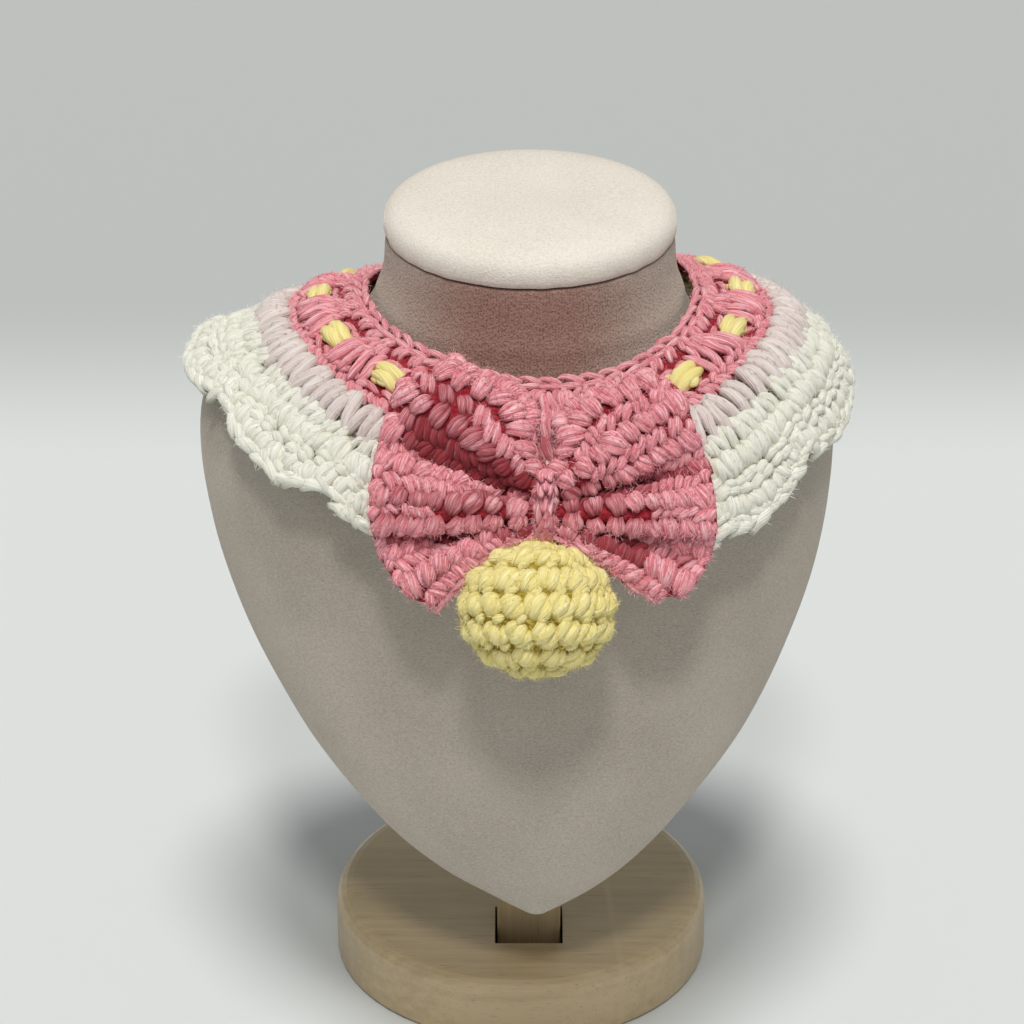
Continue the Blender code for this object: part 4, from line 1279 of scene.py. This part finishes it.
@dataclass
class Wing:
    """One gathered wing: eight ribs of two rows, drawn together under the wrap."""

    form: BowForm
    maker: StitchMaker
    side: Side
    seed: int = 53
    hairs: int = 14000
    wall: float = 1.4
    rows: int = 16
    stitches: int = 8           # in a row
    crowded: float = 2.2        # millimetres between rows under which every second one is hidden
    lean: float = 20.0          # degrees that the knobs lean outwards
    edge_links: int = 10
    top_knobs: int = 6
    rim_loops: int = 19

    def build(self) -> None:
        """Make the cloth and its rows."""
        name = "wing_" + self.side.name.lower()

        def place(s: float, t: float) -> Vector:
            """Point for the shares along the wing and down it."""
            return self.form.wing(self.side, s if self.side is Side.RIGHT else 1.0 - s, 1.0 - t)

        cloth = cloth_piece(name + "_cloth", curved_grid(26, 98, place), PINK, self.wall,
                            "bow_" + self.side.name.lower())
        stitches = self._stitches(name)

    def _stitches(self, name: str) -> list[bpy.types.Object]:
        """Rows on the front and the back, and what lies along the edges."""
        layer = StitchLayer(self.maker, self.seed + self.side.value, 1.5)
        for row in range(self.rows):
            for k in range(-1, self.stitches):
                along = 0.03 + 0.93 * (k + (0.25 if row % 2 else 0.75)) / self.stitches
                self._stitch(layer, row, along)
        self._edges(layer)
        return layer.piece(name + "_stitches", PINK, self.hairs)

    def _stitch(self, layer: StitchLayer, row: int, along: float) -> None:
        """A knob of an even row or the legs of an odd one, with a loop behind it."""
        share = (row + 0.5) / self.rows
        step = self.form.drop(self.side, along, share) / self.rows
        crowded = step < self.crowded
        if crowded and row % 2:
            return
        where = self.form.wing_frame(self.side, along, share)
        # painted shade from the creases; the odd rows between the knobs take a little more
        shade = self.form.shade_at(self.side, along, share)
        front = moved(where, 0.7)
        wide = (4.0 - 0.1 * shade) * (1.0 + 0.12 * layer.random.uniform(-1.0, 1.0))
        if row % 2:
            legs = Stitch.LEGS_BACK if self.side is Side.LEFT else Stitch.LEGS
            high = min(max(1.35 * step, 3.4), 5.4)
            layer.lay(legs, front, 4.5, high, sunk=0.2 + 0.4 * shade, shade=min(1.0, shade + 0.2))
        else:
            high = min(max((2.4 if crowded else 1.42) * step, 4.0), 5.6)
            layer.lay(Stitch.KNOB, front, wide, high, 1.22, turn=self.lean * self.side.value,
                      sunk=-0.45 + 0.8 * shade, shade=shade)
        layer.lay(Stitch.LOOP, moved(where @ Matrix.Rotation(math.pi, 4, "Y"), 0.6), wide, high, 0.8)

    def _edges(self, layer: StitchLayer) -> None:
        """A chain along the top and bottom edges, knobs over the top one and loops down the rim."""
        def frame(along: float, share: float, lift: float, up: float = 0.0) -> Matrix:
            """Placing matrix off the wing's front."""
            return moved(self.form.wing_frame(self.side, along, share), lift, up)

        for share, lift in ((0.004, 0.3), (0.992, 0.6)):
            for k in range(self.edge_links):
                along = 0.06 + 0.93 * (k + 0.5) / self.edge_links
                layer.lay(Stitch.LINK, frame(along, share, lift), 5.0, 2.9)
        over = 1.7 if self.side is Side.LEFT else 1.02
        lean = self.lean * self.side.value
        for k in range(self.top_knobs):
            along = 0.42 + 0.54 * k / (self.top_knobs - 1)
            layer.lay(Stitch.KNOB, frame(along, 0.01, -0.2, over), 4.6, 4.6, 1.1, turn=lean)
        for k in range(self.rim_loops):
            layer.lay(Stitch.LOOP, frame(0.965, (k + 0.5) / self.rim_loops, 0.3), 3.8, 4.4, turn=90.0)


@dataclass
class Wrap:
    """Strands wound round the middle of the bow."""

    form: BowForm
    maker: StitchMaker
    seed: int = 71
    hairs: int = 200
    top: float = 7.6
    bottom: float = -8.2
    reach: float = 4.4
    turns: tuple[tuple[float, float], ...] = ((-0.85, 0.0), (0.0, 0.35), (0.85, 0.1))   # shift and start
    strands: int = 11           # in one turn

    def build(self) -> None:
        """Make three turns of yarn side by side."""
        layer = StitchLayer(self.maker, self.seed, 0.2)
        for shift, start in self.turns:
            self._turn(layer, shift, start)
        strands, _ = layer.piece("wrap_strands", PINK, self.hairs)
        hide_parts("bow_wrap")

    def _turn(self, layer: StitchLayer, shift: float, start: float) -> None:
        """One turn of yarn, as laid strands end to end on a rounded oblong."""
        middle = (self.top + self.bottom) / 2
        half = (self.top - self.bottom) / 2

        def at(angle: float) -> Vector:
            """Point of the turn in metres."""
            c, s = math.cos(angle), math.sin(angle)
            v = middle + half * math.copysign(abs(s) ** 0.7, s)
            return self.form.point(shift + 0.25 * s, v, self.reach * math.copysign(abs(c) ** 0.7, c))

        for k in range(self.strands):
            a = math.tau * (k + start) / self.strands
            out = at(a) - self.form.point(shift, middle, 0.0)
            layer.lay(Stitch.LAID, frame_at(at(a), at(a + 0.1) - at(a - 0.1), out), 6.6, 3.9, 0.7)


@dataclass
class Ball:
    """Stuffed ball worked in rounds."""

    form: BowForm
    maker: StitchMaker
    seed: int = 83
    hairs: int = 5000
    fill: float = 0.9
    offset: tuple[float, float, float] = (-1.8, -23.7, 3.9)
    across: float = 17.7
    up: float = 15.4
    sunk: float = 1.1           # how deep the body lies under the ball's surface
    rounds: tuple[tuple[float, int], ...] = ((78.0, 5), (52.0, 12), (25.5, 17), (0.5, 19), (-25.0, 17),
                                             (-52.0, 12), (-78.0, 5))

    def build(self) -> None:
        """Make the stuffed body and the rounds of stitches."""
        bm = bmesh.new()
        bmesh.ops.create_uvsphere(bm, u_segments=48, v_segments=32, radius=1.0)
        for vert in bm.verts:
            latitude = math.asin(max(-1.0, min(1.0, vert.co.z)))
            vert.co = self._point(math.atan2(vert.co.y, vert.co.x), latitude, -self.sunk)
        body = add_piece("ball_body", bm, YELLOW.cloth())
        ride(body, YELLOW.name, "ball")
        layer = StitchLayer(self.maker, self.seed)
        for level, (latitude, count) in enumerate(self.rounds):
            step = math.tau / count * math.cos(math.radians(latitude)) * self.across
            for k in range(count):
                self._stitch(layer, math.tau * (k + 0.31 * level) / count, math.radians(latitude), step)
        stitches, _ = layer.piece("ball_stitches", YELLOW, self.hairs)

    def _stitch(self, layer: StitchLayer, a: float, latitude: float, step: float) -> None:
        """One stitch of a round: a slanted knob above the tip that holds it."""
        knob = self._frame(a, latitude + math.radians(3.6), -1.6)
        tip = self._frame(a + 0.35 * step / self.across, latitude - math.radians(7.6), -1.3)
        layer.lay(Stitch.KNOB, knob, step * 1.04, 5.4, 0.95, turn=-30.0)
        layer.lay(Stitch.LOOP, tip, 3.2, 3.4, 0.8, turn=60.0)

    def _point(self, longitude: float, latitude: float, lift: float) -> Vector:
        """A point of the ball in metres, with lift in millimetres off its surface."""
        u, v, w = self.offset
        return self.form.point(u + (self.across + lift) * math.cos(latitude) * math.sin(longitude),
                               v + (self.up + lift) * math.sin(latitude),
                               w + (self.across + lift) * math.cos(latitude) * math.cos(longitude))

    def _frame(self, longitude: float, latitude: float, lift: float) -> Matrix:
        """A placing matrix on the ball: X round it, Y towards its top, Z out."""
        return surface_frame(lambda a, b: self._point(a, b, lift), longitude, latitude, 0.05, 0.05)


# ======================================================================= stand

class Level(NamedTuple):
    """One level of the bust: its height, half its width, how far forward its front, its back and
    its widest line lie, its middle, and how full its back is."""

    z: float
    half_width: float
    front: float
    back: float
    edge: float
    middle_x: float
    back_fullness: float


@dataclass
class Bust:
    """Padded bust with a jersey cover, and a round lid on its neck."""

    points: int = 120
    steps: int = 90
    shoulder_z: float = 180.0
    fullness_drop: float = 25.0
    chest_fullness: float = 0.35
    ribs_and_shade_from: float = 174.0    # height over which the knit's ribs and the painted shade under the lid begin to show
    ribs_and_shade_over: float = 14.0     # and over how much
    lid_bottom: float = 211.6
    lid_profile: tuple[tuple[float, float], ...] = (        # radius and height
        (0.0, 0.0), (34.0, 0.0), (35.0, 0.5), (35.3, 1.8), (35.35, 3.4), (35.1, 4.9), (34.3, 6.3), (32.8, 7.4),
        (30.2, 8.2), (26.0, 8.7), (20.0, 9.0), (12.0, 9.15), (0.0, 9.2))
    lid_gathered: float = 4.5   # height up to which the lid's edge is gathered
    levels: tuple[Level, ...] = (
        Level(211.3, 34.8, 46.8, -22.8, 12.0, 2.0, 2.0), Level(208.5, 35.1, 47.1, -23.1, 12.0, 2.0, 2.0),
        Level(204.0, 35.4, 47.4, -23.4, 12.0, 2.0, 2.0), Level(200.0, 36.2, 48.0, -24.2, 12.0, 2.0, 2.0),
        Level(196.5, 37.5, 48.9, -25.3, 12.0, 2.0, 2.0), Level(193.2, 38.6, 49.4, -25.0, 12.2, 1.8, 2.0),
        Level(189.8, 41.2, 50.4, -25.4, 13.0, 1.4, 1.85), Level(186.4, 46.4, 51.6, -25.8, 15.0, 0.8, 1.65),
        Level(183.6, 54.2, 52.6, -26.2, 16.5, 0.3, 1.55), Level(180.6, 63.4, 53.7, -26.8, 17.0, -0.2, 1.5),
        Level(177.2, 71.2, 54.9, -27.4, 17.0, -0.6, 1.5), Level(173.0, 75.4, 56.2, -27.8, 17.0, -1.0, 1.55),
        Level(168.0, 77.2, 57.4, -27.4, 16.5, -1.2, 1.6), Level(160.0, 77.8, 58.8, -25.6, 16.0, -1.2, 1.8),
        Level(150.0, 77.3, 60.3, -22.0, 16.0, -1.0, 2.0), Level(137.0, 75.3, 62.1, -14.5, 18.0, -0.6, 2.1),
        Level(124.0, 71.9, 63.6, -5.5, 20.0, -0.2, 2.2), Level(112.0, 67.1, 64.6, 3.5, 24.0, 0.1, 2.3),
        Level(100.2, 61.2, 65.2, 12.5, 28.5, 0.6, 2.3), Level(88.7, 54.2, 65.5, 21.0, 33.5, 0.9, 2.3),
        Level(77.4, 45.2, 65.2, 29.5, 39.0, 1.1, 2.3), Level(66.0, 34.9, 64.0, 38.0, 44.0, 1.6, 2.3),
        Level(57.0, 24.0, 61.8, 44.5, 49.0, 2.6, 2.3), Level(50.8, 14.0, 59.4, 49.0, 52.5, 3.6, 2.2),
        Level(46.6, 6.4, 57.6, 52.2, 54.5, 3.7, 2.0), Level(44.4, 2.0, 56.7, 54.6, 55.6, 3.7, 2.0),
    )

    def build(self) -> None:
        """Make the cover and the lid."""
        self._cover()
        self._lid()

    def level_at(self, share: float) -> list[float]:
        """The level table read smoothly at a share of the way down its rows."""
        rows = np.array(self.levels)
        keys = np.arange(len(rows), dtype=float)
        return [smooth_row(keys, rows[:, column], share * (len(rows) - 1)) for column in range(rows.shape[1])]

    def _outline(self, level: Sequence[float], a: float) -> Vector:
        """The point of one level at an angle round it, in metres."""
        z, half_width, front, back, edge, middle_x, back_fullness = level
        grown = min(1.0, max(0.0, (self.shoulder_z - z) / self.fullness_drop))
        fullness = 2.0 + self.chest_fullness * grown if math.cos(a) > 0 else back_fullness
        across = math.copysign(abs(math.sin(a)) ** (2 / fullness), math.sin(a))
        along = math.copysign(abs(math.cos(a)) ** (2 / fullness), math.cos(a))
        reach = front - edge if along > 0 else edge - back
        return Vector(((middle_x + half_width * across) * MM, -(edge + reach * along) * MM, z * MM))

    def _cover(self) -> None:
        """Jersey cover of the neck and the chest."""
        rows = [self.level_at(i / self.steps) for i in range(self.steps + 1)]

        def place(s: float, t: float) -> Vector:
            """Point for the shares round the bust and up it."""
            return self._outline(rows[self.steps - round(t * self.steps)], math.tau * s)

        bm = curved_grid(self.points, self.steps, place)
        bmesh.ops.holes_fill(bm, edges=[edge for edge in bm.edges if edge.is_boundary], sides=0)
        turn = bm.verts.layers.float.new("turn")
        ribbed = bm.verts.layers.float.new("ribbed")
        for vert in bm.verts:
            x, y, z = vert.co / MM
            vert[turn] = math.atan2(x - NECK_X, -y - NECK_FORWARD)
            vert[ribbed] = min(1.0, max(0.0, (z - self.ribs_and_shade_from) / self.ribs_and_shade_over))
        bmesh.ops.recalc_face_normals(bm, faces=bm.faces)
        cover = add_piece("bust_cover", bm, JERSEY.material())
        ride(cover, "velvet", "bust")

    def _lid(self) -> None:
        """Padded round lid whose lower edge is slightly gathered."""
        bm = bmesh.new()
        points = [bm.verts.new((radius * MM, 0.0, height * MM)) for radius, height in self.lid_profile]
        edges = [bm.edges.new(pair) for pair in zip(points, points[1:])]
        bmesh.ops.spin(bm, geom=points + edges, cent=(0, 0, 0), axis=(0, 0, 1), angle=math.tau,
                       steps=160, use_merge=True)
        bmesh.ops.remove_doubles(bm, verts=bm.verts, dist=MERGED * MM)
        bmesh.ops.recalc_face_normals(bm, faces=bm.faces)
        turn = bm.verts.layers.float.new("turn")
        bm.verts.layers.float.new("ribbed")
        draw = random.Random(5)
        waves = [(draw.uniform(11, 38), draw.uniform(0, math.tau), draw.uniform(0.02, 0.07)) for _ in range(9)]
        for vert in bm.verts:
            a = math.atan2(vert.co.x, -vert.co.y)
            height = vert.co.z / MM
            ruffled = sum(size * math.sin(round(count) * a + start) for count, start, size in waves)
            low = max(0.0, 1.0 - height / self.lid_gathered)
            flat = Vector((vert.co.x, vert.co.y, 0.0))
            vert[turn] = a
            if flat.length > 20.0 * MM:
                vert.co += flat.normalized() * ruffled * low * MM
            vert.co += Vector((NECK_X * MM, -NECK_FORWARD * MM, self.lid_bottom * MM))
        lid = add_piece("lid_cover", bm, LID_JERSEY.material())
        ride(lid, "velvet", "bust_cap")


@dataclass
class Stand:
    """Wooden post and base, which keep their CAD meshes."""

    pale_line_x: float = 0.0225
    pale_line_slope: float = -0.08

    def dress(self, nodes: dict[str, bpy.types.Object]) -> None:
        """Give both wooden parts their grain."""
        pale_line = (self.pale_line_x, self.pale_line_slope)
        nodes["stand_base"].material_slots[0].material = WOOD.material(Grain.X, pale_line)
        nodes["stand_post"].material_slots[0].material = WOOD.material(Grain.Z)


# ================================================================ studio, camera

class Lamp(NamedTuple):
    """A large lamp far off: degrees that it stands forward of straight up, degrees that it
    spans, and its strength in watts on a square metre."""

    name: str
    tilt: float
    width: float
    power: float


@dataclass
class Studio:
    """Pale floor that sweeps up into a backdrop painted grey with shade, soft overhead light and the camera."""

    target: tuple[float, float, float] = (-2.387, -20.0, 138.975)
    elevation: float = 27.705
    distance: float = 1028.249
    focal_pixels: float = 4150.0
    frame_pixels: float = 1024.0
    sensor: float = 36.0
    lamps: tuple[Lamp, ...] = (Lamp("overhead", 14.0, 13.0, 1.98), Lamp("front", 37.0, 7.0, 0.86))
    lamp_colour: Colour = (1.0, 0.98, 0.94)
    sky: float = 0.33
    sky_colour: Colour = (0.97, 1.0, 1.02)
    floor_colour: Colour = (0.625, 0.65, 0.65)
    backdrop_shade_colour: Colour = (0.43, 0.45, 0.447)
    fade: tuple[float, float] = (0.27, 0.41)    # metres behind, where the floor's colour turns into the painted shade of the backdrop
    floor_front: float = -1.6                   # metres, as are the next two
    floor_length: float = 2.4
    bend: float = 0.9                           # radius of the sweep up

    def build(self) -> None:
        """Make the stage, the lights and the camera."""
        self._camera()
        self._sweep()
        for lamp in self.lamps:
            self._sun(lamp)
        bpy.context.scene.view_settings.view_transform = "Standard"
        world = bpy.data.worlds.new("studio")
        bpy.context.scene.world = world
        world.use_nodes = True
        inputs = world.node_tree.nodes["Background"].inputs
        inputs["Color"].default_value = (*self.sky_colour, 1.0)
        inputs["Strength"].default_value = self.sky

    def _camera(self) -> None:
        """Camera at the photograph's viewing angle."""
        lift = math.radians(self.elevation)
        target = Vector(self.target) * MM
        back = Vector((0.0, -math.cos(lift), math.sin(lift)))
        data = bpy.data.cameras.new("camera")
        data.sensor_width = self.sensor
        data.lens = self.focal_pixels / self.frame_pixels * self.sensor
        data.clip_start = 0.01
        camera = bpy.data.objects.new("camera", data)
        camera.location = target + back * self.distance * MM
        camera.rotation_euler = (math.pi / 2 - lift, 0.0, 0.0)
        bpy.context.collection.objects.link(camera)
        bpy.context.scene.camera = camera

    def _sweep(self) -> None:
        """Floor and backdrop in one sheet."""
        bm = bmesh.new()
        bmesh.ops.create_grid(bm, x_segments=2, y_segments=60, size=0.5)
        for vert in bm.verts:
            run = (vert.co.y + 0.5) * 6.0
            flat = min(run, self.floor_length)
            a = min(max(run - self.floor_length, 0.0) / self.bend, math.pi / 2)
            rest = max(0.0, run - self.floor_length - self.bend * math.pi / 2)
            vert.co = (vert.co.x * 8.0, self.floor_front + flat + self.bend * math.sin(a),
                       self.bend * (1 - math.cos(a)) + rest)
        bmesh.ops.recalc_face_normals(bm, faces=bm.faces)
        shader = Shader("backdrop")
        _, y, _ = shader.place()
        colour = shader.mix(y.rise(*self.fade), self.floor_colour, self.backdrop_shade_colour)
        sweep = add_piece("backdrop", bm, shader.finish(colour, 0.9, None))

    def _sun(self, lamp: Lamp) -> None:
        """Hang one lamp."""
        data = bpy.data.lights.new(lamp.name, "SUN")
        data.energy = lamp.power
        data.angle = math.radians(lamp.width)
        data.color = self.lamp_colour
        tilt = math.radians(lamp.tilt)
        hung = bpy.data.objects.new(lamp.name, data)
        hung.location = (0.0, -math.sin(tilt), math.cos(tilt))
        hung.rotation_euler = (tilt, 0.0, 0.0)
        bpy.context.collection.objects.link(hung)


def main() -> None:
    """Dress the frame."""
    logging.basicConfig(level=logging.INFO, format="%(name)s: %(message)s")
    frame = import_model()
    Studio().build()
    maker = StitchMaker()
    bib = BibForm()
    bow = BowForm()
    Stand().dress(frame["nodes"])
    Bust().build()
    Band(bib, maker).build()
    Drawstring(bib, maker).build()
    PostRow(bib, maker).build()
    Ruffle(bib, maker).build()
    for side in Side:
        Wing(bow, maker, side).build()
    Wrap(bow, maker).build()
    Ball(bow, maker).build()
    for mesh in maker.made.values():
        bpy.data.meshes.remove(mesh)


if __name__ == "__main__":
    main()
